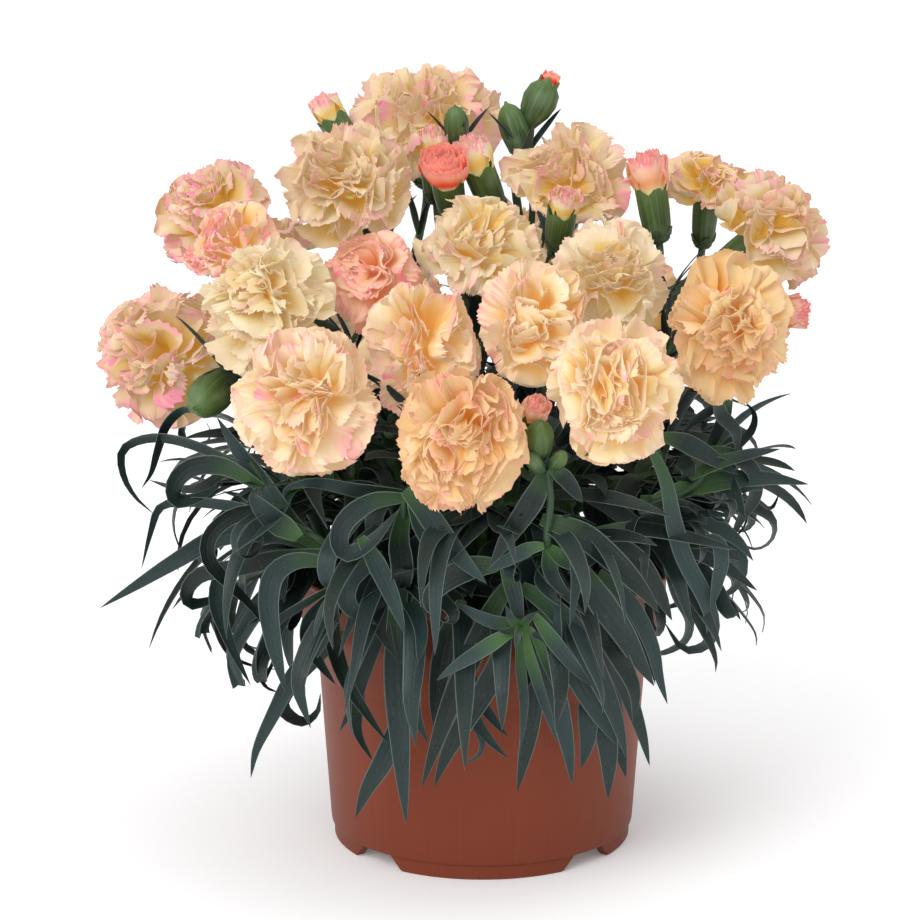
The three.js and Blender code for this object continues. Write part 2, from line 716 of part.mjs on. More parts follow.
/** The rings of a thin stalk along its curve, squared to it. */
function stalkRings(curve, steps) {
  return Array.from({ length: steps }, (unused, i) => {
    const place = curve.getPoint((i + 0.25) / steps);
    const turn = new THREE.Quaternion().setFromUnitVectors(UP, curve.getTangent((i + 0.25) / steps));
    return fiveAround(BRANCH_RADIUS, 0).map((point) => point.applyQuaternion(turn).add(place));
  });
}

/** A stalk that widens into its calyx: a narrow green cup with five teeth. */
function stalkWithCalyx(fork, flower, length, radius, tooth) {
  const turn = new THREE.Quaternion().setFromUnitVectors(UP, flower.facing);
  const teeth = Array.from({ length: 10 }, (unused, i) => {
    return around(radius * (i % 2 === 0 ? 1.06 : 0.96), 36 * i, i % 2 === 0 ? tooth : 0);
  });
  const cup = [
    fiveAround(radius * 0.5, -length),
    fiveAround(radius * 0.92, -length * 0.55),
    teeth,
    [new THREE.Vector3(0, 0, -GAP)],
  ];
  const placed = cup.map((ring) => ring.map((point) => point.applyQuaternion(turn).add(flower.mouth)));
  return skin([[fork], ...stalkRings(stalkCurve(fork, flower), 2), ...placed]);
}

/** A stalk with a closed bud: the calyx drawn together over its petals. */
function stalkWithGreenBud(fork, bud) {
  const turn = new THREE.Quaternion().setFromUnitVectors(UP, bud.facing);
  const levels = [
    [0.45, -3],
    [1, -1.6],
    [0.9, -0.5],
    [0.35, 0.5],
  ];
  const shell = levels.map(([share, height]) => fiveAround(bud.radius * share, bud.radius * height));
  shell.push([new THREE.Vector3(0, 0, 0.75 * bud.radius)]);
  const placed = shell.map((ring) => ring.map((point) => point.applyQuaternion(turn).add(bud.mouth)));
  return skin([[fork], ...stalkRings(stalkCurve(fork, bud), 2), ...placed]);
}

// Each spray: the foot of its stem (radius and compass), its fork, and the flowers and buds that it carries.
const SPRAYS = [
  { name: 'left_back', foot: [29, 176], fork: [-42, 6, 166], blooms: ['far_left', 'pink_left'] },
  { name: 'left', foot: [30, 206], fork: [-46, -20, 148], blooms: ['left_edge', 'left'], green: ['left'] },
  { name: 'front_left', foot: [26, 238], fork: [-30, -34, 150], blooms: ['front_left', 'salmon'] },
  { name: 'top', foot: [24, 140], fork: [-26, 24, 182], blooms: ['upper_left', 'top'], buds: ['top_left'] },
  {
    name: 'front',
    foot: [28, 270],
    fork: [3, -40, 150],
    blooms: ['front', 'peach', 'front_right'],
    buds: ['front'],
    green: ['front', 'front_low', 'front_side'],
  },
  { name: 'middle', foot: [4, 120], fork: [-2, 3, 170], blooms: ['middle'], buds: ['rosette', 'cream'] },
  {
    name: 'inner_right',
    foot: [14, 310],
    fork: [22, -18, 160],
    blooms: ['inner_right', 'right'],
    buds: ['small'],
  },
  {
    name: 'upper_right',
    foot: [17, 60],
    fork: [16, 27, 186],
    blooms: ['upper_right'],
    buds: ['top_right'],
    green: ['top'],
  },
  { name: 'right', foot: [30, 332], fork: [48, -16, 152], blooms: ['right_edge'], buds: ['right_edge'] },
  {
    name: 'far_right',
    foot: [30, 5],
    fork: [46, 10, 168],
    blooms: ['far_right', 'small_right'],
    buds: ['coral'],
  },
  { name: 'back_right', foot: [28, 45], fork: [38, 36, 146], blooms: ['back_right', 'back_edge'] },
  { name: 'back', foot: [28, 88], fork: [4, 42, 152], blooms: ['back'] },
  { name: 'back_left', foot: [30, 124], fork: [-32, 38, 146], blooms: ['back_left', 'back_middle'] },
];

function named(list, names) {
  return (names ?? []).map((name) => list.find((entry) => entry.name === name));
}

// The small leaf on each flower stem, just above the canopy.
const STEM_LEAF_AT = 0.72;
const STEM_LEAF_ASIDE = 40;
const STEM_LEAF = { length: 44, width: 5, rise: 64, bend: 46, droop: 1.2, drift: 0, twist: 20 };

function sprayFoot(spray) {
  return around(spray.foot[0], spray.foot[1], SOIL_TOP - HOLE_DEPTH);
}

function buildSpray(spray) {
  const foot = sprayFoot(spray);
  const fork = new THREE.Vector3(...spray.fork);
  const line = smoothCurve([
    foot,
    foot.clone().setZ(SOIL_TOP + 6),
    new THREE.Vector3(foot.x * 1.04, foot.y * 1.04, 132),
    fork,
  ]);
  const pieces = [stem(line, STEM_RADIUS, 4, 5), swelling(fork, 1.65 * STEM_RADIUS)];
  const heading = spray.foot[1] + STEM_LEAF_ASIDE;
  pieces.push(leaf(line.getPoint(STEM_LEAF_AT), heading, STEM_LEAF, (point) => point.clone()));
  for (const bloom of named(BLOOMS, spray.blooms)) {
    const radius = CALYX_RADIUS * mix(0.8, 1, (bloom.radius - 15) / 10);
    pieces.push(stalkWithCalyx(fork, bloom, CALYX_LENGTH, radius, 1.1));
  }
  for (const bud of named(OPENING_BUDS, spray.buds)) {
    pieces.push(stalkWithCalyx(fork, bud, CALYX_LENGTH * 0.95, bud.radius * 0.93, 2.4));
  }
  for (const bud of named(GREEN_BUDS, spray.green)) {
    pieces.push(stalkWithGreenBud(fork, bud));
  }
  return finish(`flower_spray_${spray.name}`, fuse(pieces), paint(0x527a4a, 0.55));
}

// ---------------------------------------------------------------- the whole plant

const plant = new THREE.Group();
plant.add(buildPot());
plant.add(buildSoil([...LOW_FEET, ...TALL_FEET, ...SPRAYS.map(sprayFoot)]));
LOW_FEET.forEach((foot, i) => plant.add(buildLowShoot(foot, i)));
TALL_FEET.forEach((foot, i) => plant.add(buildTallShoot(foot, i)));
SPRAYS.forEach((spray) => plant.add(buildSpray(spray)));
BLOOMS.forEach((bloom, i) => plant.add(buildBloom(bloom, i)));
OPENING_BUDS.forEach((bud, i) => plant.add(buildBudPetals(bud, i)));

// The origin lies under the middle of the whole plant, at the level of its feet.
const middle = new THREE.Box3().setFromObject(plant).getCenter(new THREE.Vector3());
plant.position.set(-middle.x, -middle.y, 0);

export default plant;
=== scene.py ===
# %% [markdown]
# # A pot carnation in flower
#
# The real plant is a cushion of leafy shoots with waxy strap leaves, in a small plastic pot. Above the
# leaves rise thin jointed stems that fork, and each branch ends in a green cup, the calyx, which holds a
# dense ball of ruffled petals. The solids that come with the part give every place and size. This lesson
# builds finer pieces over them, from the camera and the light down to the teeth of the petals.
#
# The first cell loads those solids and takes the pot's axis from the pot's box.

# %% The frame
import math

import bpy
import numpy as np
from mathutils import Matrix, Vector


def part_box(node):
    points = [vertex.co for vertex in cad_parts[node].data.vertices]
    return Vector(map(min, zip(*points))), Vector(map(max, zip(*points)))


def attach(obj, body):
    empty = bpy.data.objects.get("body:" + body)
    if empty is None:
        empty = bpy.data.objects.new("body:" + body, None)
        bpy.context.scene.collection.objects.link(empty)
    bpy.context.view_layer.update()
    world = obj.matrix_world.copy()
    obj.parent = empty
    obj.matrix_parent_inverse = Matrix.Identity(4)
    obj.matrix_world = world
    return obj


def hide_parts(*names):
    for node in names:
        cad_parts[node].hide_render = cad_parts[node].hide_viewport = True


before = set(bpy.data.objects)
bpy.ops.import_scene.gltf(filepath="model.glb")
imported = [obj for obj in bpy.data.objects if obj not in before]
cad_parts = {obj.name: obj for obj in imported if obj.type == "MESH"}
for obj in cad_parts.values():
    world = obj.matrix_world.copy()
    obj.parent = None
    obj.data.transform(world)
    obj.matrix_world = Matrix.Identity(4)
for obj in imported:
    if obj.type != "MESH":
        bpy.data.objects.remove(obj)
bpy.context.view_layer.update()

MM = 0.001
pot_low, pot_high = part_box("pot")
POT_AXIS = np.array([pot_low.x + pot_high.x, pot_low.y + pot_high.y, 0.0]) / 2
print("the pot's axis in mm", np.round(POT_AXIS / MM, 2))

# %% [markdown]
# ## The view
#
# A long lens from a little above keeps the pot's sides almost parallel and still shows the tops of the
# blooms. Places are in millimetres from the pot's axis, as a grower would measure them.

# %% The camera
CAMERA_PLACE = np.array([-7.5, -1300.0, 470.0])
CAMERA_PITCH = 14.6  # degrees below the horizon
LENS = 156.1


def put_in_scene(name, data):
    thing = bpy.data.objects.new(name, data)
    bpy.context.scene.collection.objects.link(thing)
    return thing


camera = put_in_scene("camera", bpy.data.cameras.new("camera"))
camera.data.lens = LENS
camera.data.sensor_width = 36
camera.data.clip_end = 100
camera.location = CAMERA_PLACE * MM + POT_AXIS
camera.rotation_euler = (math.radians(90 - CAMERA_PITCH), 0, 0)
bpy.context.scene.camera = camera
print("camera at", [round(value, 3) for value in camera.location])

# %% [markdown]
# ## Numbers and curves
#
# Nature repeats a shape with small changes. A seeded draw gives those changes and the same plant each
# time. Leaves follow smooth curves, and a soft limit bends a point back before it reaches a neighbour
# instead of cutting it off, so that a bent leaf still looks grown.

# %% Small helpers
UP = np.array([0.0, 0.0, 1.0])


def seeded_draw(seed):
    """A row of numbers between 0 and 1."""
    state = seed

    def draw():
        nonlocal state
        state = (state * 1664525 + 1013904223) % 2**32
        return state / 2**32

    return draw


def mix(a, b, share):
    return a + (b - a) * share


def ease(low, high, value):
    """0 below low, 1 above high and a smooth rise between them."""
    share = np.clip((value - low) / (high - low), 0, 1)
    return share * share * (3 - 2 * share)


def keep_below(value, limit, softness):
    """Bends numbers smoothly so that they never pass the limit."""
    over = value - (limit - softness)
    bent = limit - softness + softness * np.tanh(np.maximum(over, 0) / softness)
    return np.where(over <= 0, value, bent)


def keep_above(value, limit, softness):
    return -keep_below(-value, -limit, softness)


def direction(compass, rise):
    """A unit vector from its compass angle and its rise above the horizon, both in degrees."""
    compass, rise = math.radians(compass), math.radians(rise)
    flat = math.cos(rise)
    return np.array([flat * math.cos(compass), flat * math.sin(compass), math.sin(rise)])


def around(radius, compass, height):
    compass = math.radians(compass)
    return np.array([radius * math.cos(compass), radius * math.sin(compass), height])


def angles_round(count):
    """Evenly spaced angles round a circle."""
    return 2 * math.pi * np.arange(count) / count


def unit(vectors):
    return vectors / (np.linalg.norm(vectors, axis=-1, keepdims=True) + 1e-12)


def curve_places(points, shares):
    """Places on the smooth curve through evenly numbered points, at shares from 0 to 1 of its way."""
    points = np.asarray(points, float)
    padded = np.vstack([2 * points[0] - points[1], points, 2 * points[-1] - points[-2]])
    at = np.clip(np.atleast_1d(shares), 0, 1) * (len(points) - 1)
    i = np.minimum(at.astype(int), len(points) - 2)
    t = (at - i)[:, None]
    before, start, end, after = (padded[i + k] for k in range(4))
    leave, arrive = (end - before) / 2, (after - start) / 2
    cubic = (2 * start - 2 * end + leave + arrive) * t**3
    return cubic + (3 * end - 3 * start - 2 * leave - arrive) * t**2 + leave * t + start


def curve_headings(points, shares, step=1e-4):
    shares = np.atleast_1d(shares)
    return unit(curve_places(points, shares + step) - curve_places(points, shares - step))


def turned_from_up(points, towards):
    """Points that were made round +Z, turned so that +Z looks towards a direction."""
    turn = Vector((0, 0, 1)).rotation_difference(Vector(towards)).to_matrix()
    return np.asarray(points) @ np.array(turn).T


print("a soft limit of 5 bends 4, 5 and 9 to", np.round(keep_below(np.array([4.0, 5.0, 9.0]), 5, 2), 2))

# %% [markdown]
# ## Batches
#
# A bloom has some thirty petals and a shoot some forty leaves. A batch gathers many such bodies into one
# mesh, together with the values that its finish will read, which is far quicker than making an object
# for each petal and joining them.


# %% Batches of bodies
class Batch:
    """The bodies of one piece: points in millimetres from the pot's axis, faces, and values by point."""

    def __init__(self):
        self.points = []
        self.faces = []
        self.places = []
        self.values = {"tone": [], "blush": [], "fresh": []}
        self.count = 0

    def add(self, points, faces, places, **values):
        """places are the points' shares across and along the body, for its finish."""
        points = np.asarray(points, float).reshape(-1, 3)
        self.points.append(points)
        self.faces.extend([corner + self.count for corner in face] for part in faces for face in part)
        self.places.append(np.broadcast_to(places, (len(points), 2)))
        for name, known in self.values.items():
            value = np.asarray(values.get(name, 0.0), float)
            known.append(np.broadcast_to(value.reshape(-1) if value.ndim else value, (len(points),)))
        self.count += len(points)

    def make(self, name, finish, slot, replaced=(), sharp=50):
        """Turns the batch into a piece of the plant that stands for the replaced solids."""
        mesh = bpy.data.meshes.new(name)
        points = np.concatenate(self.points) * MM + POT_AXIS
        mesh.from_pydata(points.tolist(), [], self.faces)
        corners = np.empty(len(mesh.loops), np.int32)
        mesh.loops.foreach_get("vertex_index", corners)
        layer = mesh.uv_layers.new(name="places")
        layer.data.foreach_set("uv", np.concatenate(self.places)[corners].astype(np.float32).ravel())
        for key, known in self.values.items():
            attribute = mesh.attributes.new(key, "FLOAT", "POINT")
            attribute.data.foreach_set("value", np.concatenate(known).astype(np.float32))
        mesh.materials.append(finish)
        mesh.shade_smooth()
        mesh.set_sharp_from_angle(angle=math.radians(sharp))
        piece = put_in_scene(name, mesh)
        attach(piece, "root")
        if replaced:
            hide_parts(*replaced)
        return piece


print("a batch keeps each point's", ", ".join(Batch().values))

# %% [markdown]
# Petals and leaves are sheets a fraction of a millimetre thick. One grid of points gives the middle
# surface, and its front and back stand half a thickness off it, joined round the rim. A Solidify
# modifier would do that too, but not with teeth on the rim or a thickness that changes.


# %% Thin sheets
def sheet_faces(rows, columns, fine_rim=False):
    """The faces of one thin sheet: its front grid, its back grid and the edge that joins them.

    A fine rim is one more row with nearly twice the points, for teeth.
    """
    front = np.arange(rows * columns).reshape(rows, columns)
    rim = rows * columns + np.arange(2 * columns - 1) if fine_rim else front[-1]
    behind = rim[-1] + 1 if fine_rim else rows * columns
    quads = np.stack([front[:-1, :-1], front[:-1, 1:], front[1:, 1:], front[1:, :-1]], -1)
    faces = quads.reshape(-1, 4).tolist()
    if fine_rim:
        faces += np.stack([front[-1, :-1], front[-1, 1:], rim[2::2], rim[1::2]], -1).tolist()
        faces += np.stack([front[-1, :-1], rim[1::2], rim[:-1:2]], -1).tolist()
        edge = np.concatenate([front[0, :-1], front[:, -1], rim[::-1], front[:0:-1, 0]])
    else:
        edge = np.concatenate([front[0, :-1], front[:-1, -1], front[-1, :0:-1], front[:0:-1, 0]])
    faces += [[corner + behind for corner in reversed(face)] for face in faces]
    after = np.roll(edge, -1)
    return faces + np.stack([after, edge, edge + behind, after + behind], -1).tolist()


def add_sheets(batch, middles, thickness, across, along, rim=None, **values):
    """Adds thin sheets round their middle surfaces: an array of sheets, rows, columns and coordinates.

    rim holds the same for a fine rim: its points, and then its thickness, places and values by name.
    """
    sheets, rows, columns = middles.shape[:3]
    normal = unit(np.cross(np.gradient(middles, axis=2), np.gradient(middles, axis=1)))

    def flat(value, shape):
        return np.broadcast_to(value, shape).reshape(sheets, -1)

    grid = (sheets, rows, columns)
    known = {"thickness": thickness, "across": across, "along": along, **values}
    known = {name: flat(value, grid) for name, value in known.items()}
    points, normals = middles.reshape(sheets, -1, 3), normal.reshape(sheets, -1, 3)
    if rim is not None:
        ends = normal[:, -1]
        between = (ends[:, 1:] + ends[:, :-1]) / 2
        finer = np.empty((sheets, 2 * columns - 1, 3))
        finer[:, ::2], finer[:, 1::2] = ends, between
        points = np.concatenate([points, rim["points"].reshape(sheets, -1, 3)], 1)
        normals = np.concatenate([normals, unit(finer)], 1)
        shape = (sheets, 1, 2 * columns - 1)
        known = {name: np.concatenate([value, flat(rim[name], shape)], 1)
                 for name, value in known.items()}
    half = normals * known.pop("thickness")[..., None] / 2
    both = np.concatenate([points + half, points - half], 1)
    known = {name: np.concatenate([value, value], 1).reshape(-1) for name, value in known.items()}
    places = np.stack([known.pop("across"), known.pop("along")], -1)
    faces = sheet_faces(rows, columns, rim is not None)
    size = both.shape[1]
    moved = [[[corner + size * sheet for corner in face] for face in faces] for sheet in range(sheets)]
    batch.add(both, moved, places, **known)


print("a sheet of 4 by 3 points has", len(sheet_faces(4, 3)), "quads")

# %% [markdown]
# Stems, cups and the pot are rings of points along a line. A bevelled curve would make a plain tube, but
# rings can swell at a joint, carry teeth, or turn back inside a cup.


# %% Tubes
def add_tube(batch, rings, end=1.0, **values):
    """Adds a closed body over rings with equal numbers of points, anticlockwise seen from the last one.

    The rings are numbered along the body from 0 to end, for its finish.
    """
    rings = np.asarray(rings, float)
    count, sides = rings.shape[:2]
    along = np.linspace(0, end, count)
    grid = np.arange(count * sides).reshape(count, sides)
    after = np.roll(grid, -1, axis=1)
    walls = np.stack([grid[:-1], after[:-1], after[1:], grid[1:]], -1).reshape(-1, 4)
    bottom, top = count * sides, count * sides + 1
    caps = np.stack([np.full(sides, bottom), after[0], grid[0]], -1)
    lids = np.stack([np.full(sides, top), grid[-1], after[-1]], -1)
    points = np.concatenate([rings.reshape(-1, 3), rings[:1].mean(1), rings[-1:].mean(1)])
    turn = np.tile(np.arange(sides) / sides, count)
    places = np.stack([turn, np.repeat(along, sides)], -1)
    places = np.concatenate([places, [[0.5, along[0]], [0.5, along[-1]]]])
    spread = {}
    for name, value in values.items():
        value = np.broadcast_to(value, (count,))
        spread[name] = np.concatenate([np.repeat(value, sides), [value[0], value[-1]]])
    batch.add(points, [walls.tolist(), caps.tolist(), lids.tolist()], places, **spread)


def round_rings(centres, radii, sides):
    """Rings of points squared to a line of centres, each turned on from the last so that none twists."""
    centres = np.asarray(centres, float)
    ahead = unit(np.gradient(centres, axis=0))
    side = np.cross(ahead[0], UP)
    if np.linalg.norm(side) < 0.05:
        side = np.array([1.0, 0.0, 0.0])
    angles = angles_round(sides)
    rings = []
    for centre, heading, radius in zip(centres, ahead, np.broadcast_to(radii, len(centres))):
        side = unit(side - heading * side.dot(heading))
        over = np.cross(heading, side)
        rings.append(centre + radius * (np.cos(angles)[:, None] * side + np.sin(angles)[:, None] * over))
    return np.array(rings)


def add_green_stem(batch, line, radius, taper, rows, fresh):
    """Adds a thin stem along a curve; taper is the share of its radius that is left at its tip."""
    shares = np.linspace(0, 1, rows)
    rings = round_rings(curve_places(line, shares), radius * mix(1, taper, shares), 8)
    add_tube(batch, rings, fresh=fresh)


print("three rings of 8 points, as an array of", round_rings(np.outer([0, 1, 2], UP), 1.5, 8).shape)

# %% [markdown]
# ## Finishes as sums
#
# A finish is a network of nodes, and most of it is arithmetic: a pattern times a strength, one mask
# minus another. A wire stands for one output of a node, and Python's operators on it add the Math node.
# Colours go through a Mix node, because a Math node would turn them grey.


# %% Wires
class Wire:
    """An output of a node that Python's operators work on."""

    def __init__(self, network, socket):
        self.network = network
        self.socket = socket

    def maths(self, operation, first, second, clamp=False):
        settings = {"operation": operation, "use_clamp": clamp}
        return self.network.node("ShaderNodeMath", settings, {0: first, 1: second})

    def __add__(self, other):
        return self.maths("ADD", self, other)

    def __sub__(self, other):
        return self.maths("SUBTRACT", self, other)

    def __rsub__(self, other):
        return self.maths("SUBTRACT", other, self)

    def __mul__(self, other):
        return self.maths("MULTIPLY", self, other)

    __radd__ = __add__
    __rmul__ = __mul__

    def clamped(self):
        return self.maths("ADD", self, 0.0, clamp=True)

    def distance_from(self, value):
        return self.maths("ABSOLUTE", self - value, 0.0)

    def ease(self, low, high):
        """0 below low, 1 above high and a smooth rise between them."""
        settings = {"interpolation_type": "SMOOTHSTEP"}
        inputs = {"Value": self, "From Min": low, "From Max": high}
        return self.network.node("ShaderNodeMapRange", settings, inputs)


print("wires add, subtract, multiply, clamp, ease and measure a distance")

# %% [markdown]
# A network adds nodes to a tree and feeds their sockets. A finish is the network of a material. What is
# the same all over is set on the shader itself, and only what changes over the surface comes through
# nodes, so that it can be baked. Patterns are laid out in metres, or over the shares across and along a
# body that each batch keeps, which makes veins follow a leaf wherever it curls.


# %% Networks and finishes
class Network:
    """A tree of nodes under construction."""

    def __init__(self, tree):
        self.tree = tree

    def feed(self, socket, value):
        if isinstance(value, Wire):
            self.tree.links.new(value.socket, socket)
        else:
            socket.default_value = value

    def node(self, kind, settings=None, inputs=None, output=0):
        """Adds a node: its settings come first, then the values or wires of its sockets."""
        node = self.tree.nodes.new(kind)
        for name, value in (settings or {}).items():
            setattr(node, name, value)
        for name, value in (inputs or {}).items():
            self.feed(node.inputs[name], value)
        return Wire(self, node.outputs[output])


class Finish(Network):
    """A material under construction. Constants are set on the shader's own sockets."""

    def __init__(self, name, constants):
        self.material = bpy.data.materials.new(name)
        self.material.use_nodes = True
        super().__init__(self.material.node_tree)
        self.shader = self.tree.nodes["Principled BSDF"]
        for socket, value in constants.items():
            self.shader.inputs[socket].default_value = value

    def value(self, name):
        """A value that each point of the mesh carries."""
        return self.node("ShaderNodeAttribute", {"attribute_name": name}, output="Fac")

    def place(self, axis):
        """The share across (X) or along (Y) the body."""
        mapped = self.node("ShaderNodeUVMap", {"uv_map": "places"})
        return self.node("ShaderNodeSeparateXYZ", inputs={0: mapped}, output=axis)

    def noise(self, scale, detail=3.0, stretch=None, roughness=0.5):
        """A cloudy pattern, in metres, or over the shares across and along the body when stretched."""
        if stretch is None:
            base = self.node("ShaderNodeTexCoord", output="Object")
            stretch = (1, 1, 1)
        else:
            base = self.node("ShaderNodeUVMap", {"uv_map": "places"})
        vector = self.node("ShaderNodeVectorMath", {"operation": "MULTIPLY"}, {0: base, 1: stretch})
        inputs = {"Vector": vector, "Scale": scale, "Detail": detail, "Roughness": roughness}
        return self.node("ShaderNodeTexNoise", inputs=inputs)

    def blend(self, share, first, second):
        """Blends two colours."""
        inputs = {0: share, 6: first, 7: second}
        return self.node("ShaderNodeMix", {"data_type": "RGBA"}, inputs, output=2)

    def layered(self, colour, *layers):
        """Lays colours over a first one. Each layer is a share and a colour."""
        for share, over in layers:
            colour = self.blend(share, colour, over)
        return colour

    def paint(self, colour, roughness=None, height=None, depth=0.0002, strength=0.5):
        """Connects what changes over the surface: its colour, roughness and bumps, in metres."""
        self.feed(self.shader.inputs["Base Color"], colour)
        if roughness is not None:
            self.feed(self.shader.inputs["Roughness"], roughness)
        if height is not None:
            inputs = {"Height": height, "Distance": depth, "Strength": strength}
            self.feed(self.shader.inputs["Normal"], self.node("ShaderNodeBump", inputs=inputs))
        return self.material


def shade(red, green, blue):
    """A colour as it is seen, from 0 to 255, turned to the light that the renderer counts in."""
    seen = np.array([red, green, blue]) / 255
    light = np.where(seen <= 0.04045, seen / 12.92, ((seen + 0.055) / 1.055) ** 2.4)
    return (*light.tolist(), 1.0)


print("mid grey is", round(shade(128, 128, 128)[0], 3), "of white's light")

# %% [markdown]
# ## Soft studio light
#
# Petals are thin and pale, so hard shadows would hide their folds. A pale surround gives most of the
# light, strongest from above as under a studio's big soft box. One large lamp from the upper left models
# the ruffles, and a second one overhead lifts the tops. The Standard view keeps the colours as they are
# mixed, where a film look would grey them.

# %% Surround and lamps
SKY_ABOVE = 0.98
SKY_AT_THE_FLOOR = 0.5
PLANT_MIDDLE = Vector((0, 0, 0.15))

bpy.context.scene.view_settings.view_transform = "Standard"
world = bpy.data.worlds.new("studio")
world.use_nodes = True
sky = Network(world.node_tree)
heading = sky.node("ShaderNodeTexCoord", output="Generated")
height = sky.node("ShaderNodeSeparateXYZ", inputs={0: heading}, output="Z").ease(-0.1, 0.9)
background = world.node_tree.nodes["Background"]
background.inputs["Color"].default_value = (1, 1, 1, 1)
sky.feed(background.inputs["Strength"], height * (SKY_ABOVE - SKY_AT_THE_FLOOR) + SKY_AT_THE_FLOOR)
bpy.context.scene.world = world


def hang_lamp(name, place, size, power):
    """A square lamp that looks at the plant's middle: place and size in metres, power in watts."""
    lamp = put_in_scene(name, bpy.data.lights.new(name, "AREA"))
    lamp.data.size = size
    lamp.data.energy = power
    lamp.location = Vector(place) + Vector(POT_AXIS)
    middle = Vector(POT_AXIS) + PLANT_MIDDLE
    lamp.rotation_euler = (middle - lamp.location).to_track_quat("-Z", "Y").to_euler()
    print(name, "is", round((lamp.location - middle).length, 2), "m away")


hang_lamp("key_lamp", (-1.1, -1.6, 1.4), 1.5, 29)
hang_lamp("top_lamp", (0.5, -0.2, 2.2), 0.9, 6)

# %% [markdown]
# ## The floor
#
# The plant stands on a plain pale floor that runs back past the view, so there is no edge behind it.

# %% Floor
FLOOR_SIDE = 12.0

floor_constants = {"Roughness": 0.9, "Specular IOR Level": 0.1, "Emission Strength": 0.12}
floor_finish = Finish("floor_paint", floor_constants)
mottle = floor_finish.noise(3.0)
floor_colour = floor_finish.blend(mottle, shade(250, 250, 250), shade(247, 247, 248))
corner_signs = ((-1, -1), (1, -1), (1, 1), (-1, 1))
floor_corners = [(x * FLOOR_SIDE / 2, y * FLOOR_SIDE / 2, 0) for x, y in corner_signs]
floor_mesh = bpy.data.meshes.new("floor")
floor_mesh.from_pydata(floor_corners, [], [(0, 1, 2, 3)])
floor_mesh.materials.append(floor_finish.paint(floor_colour))
put_in_scene("floor", floor_mesh)
print("the floor is", FLOOR_SIDE, "m square")

# %% [markdown]
# ## The pot
#
# A nursery pot is blown or moulded from thin plastic: a wall that leans out, a step near the top that
# makes it stack, a rolled lip, and feet that let water out. It is round, so a turned outline makes it.
# Every corner of the outline is rounded a little, because a moulded edge is never sharp and the soft
# line of light along it is what tells plastic from paper.

# %% Pot outline
POT_TOP = 97.0
FLOOR_UNDERSIDE = 5.0
FLOOR_UPSIDE = 6.2
NEAR_AXIS = 1.0
EDGE_BEND = 1.3
POT_STEPS = 128
# the wall's outside and then its inside, as (radius, height)
POT_WALL = [
    (51.6, 5.0), (55.5, 61.0), (59.4, 73.0), (62.2, 80.0), (62.5, 93.6), (64.6, 94.6), (65.0, 97.0),
    (61.3, 97.0), (61.0, 80.4), (58.2, 73.4), (54.3, 61.4), (50.4, 6.2),
]


def rounded_outline(corners, reach, steps=4):
    """Rounds each inner corner of an outline, starting the bend at most reach away from it."""
    corners = [np.array(corner, float) for corner in corners]
    outline = [corners[0]]
    for before, corner, after in zip(corners, corners[1:], corners[2:]):
        back = before - corner
        on = after - corner
        bend = min(reach, 0.45 * np.linalg.norm(back), 0.45 * np.linalg.norm(on))
        start = corner + unit(back) * bend
        end = corner + unit(on) * bend
        for t in np.linspace(0, 1, steps):
            outline.append((1 - t) ** 2 * start + 2 * t * (1 - t) * corner + t**2 * end)
    outline.append(corners[-1])
    return np.array(outline)


def turned_rings(outline, steps):
    """The outline of radius and height, turned round the pot's axis."""
    angles = angles_round(steps)
    ring = np.stack([np.cos(angles), np.sin(angles), np.zeros(steps)], -1)
    return outline[:, :1, None] * ring + outline[:, 1:, None] * UP


pot_corners = [(NEAR_AXIS, FLOOR_UNDERSIDE), *POT_WALL, (NEAR_AXIS, FLOOR_UPSIDE)]
pot_outline = rounded_outline(pot_corners, EDGE_BEND)
pot_batch = Batch()
add_tube(pot_batch, turned_rings(pot_outline, POT_STEPS))
print("the pot's outline has", len(pot_outline), "points")

# %% [markdown]
# The foot ring is cut by four notches with sloping flanks. Each foot is a block swept along its arc,
# shorter at the bottom than at the top.

# %% Pot feet
FEET = 4
FOOT_OUTSIDE = 50.6
FOOT_INSIDE = 47.2
FOOT_BEVEL = 0.6
FOOT_ROOT = 5.4  # a little way up into the floor of the pot
FOOT_HALF_SPAN_LOW = 32.0
FOOT_HALF_SPAN_HIGH = 38.0
FOOT_ROWS = 33


def add_foot(batch, compass):
    corners = [(FOOT_OUTSIDE, FOOT_ROOT), (FOOT_OUTSIDE, FOOT_BEVEL), (FOOT_OUTSIDE - FOOT_BEVEL, 0.0)]
    corners += [(FOOT_INSIDE + FOOT_BEVEL, 0.0), (FOOT_INSIDE, FOOT_BEVEL), (FOOT_INSIDE, FOOT_ROOT)]
    rings = []
    for share in np.linspace(-1, 1, FOOT_ROWS):
        ring = []
        for radius, height in corners:
            rise = min(height / FLOOR_UNDERSIDE, 1)
            span = mix(FOOT_HALF_SPAN_LOW, FOOT_HALF_SPAN_HIGH, rise)
            ring.append(around(radius, compass + share * span, height))
        rings.append(ring)
    add_tube(batch, rings)


for foot_number in range(FEET):
    add_foot(pot_batch, 360 / FEET * foot_number)
print("the pot stands on", FEET, "feet between radius", FOOT_INSIDE, "and", FOOT_OUTSIDE, "mm")
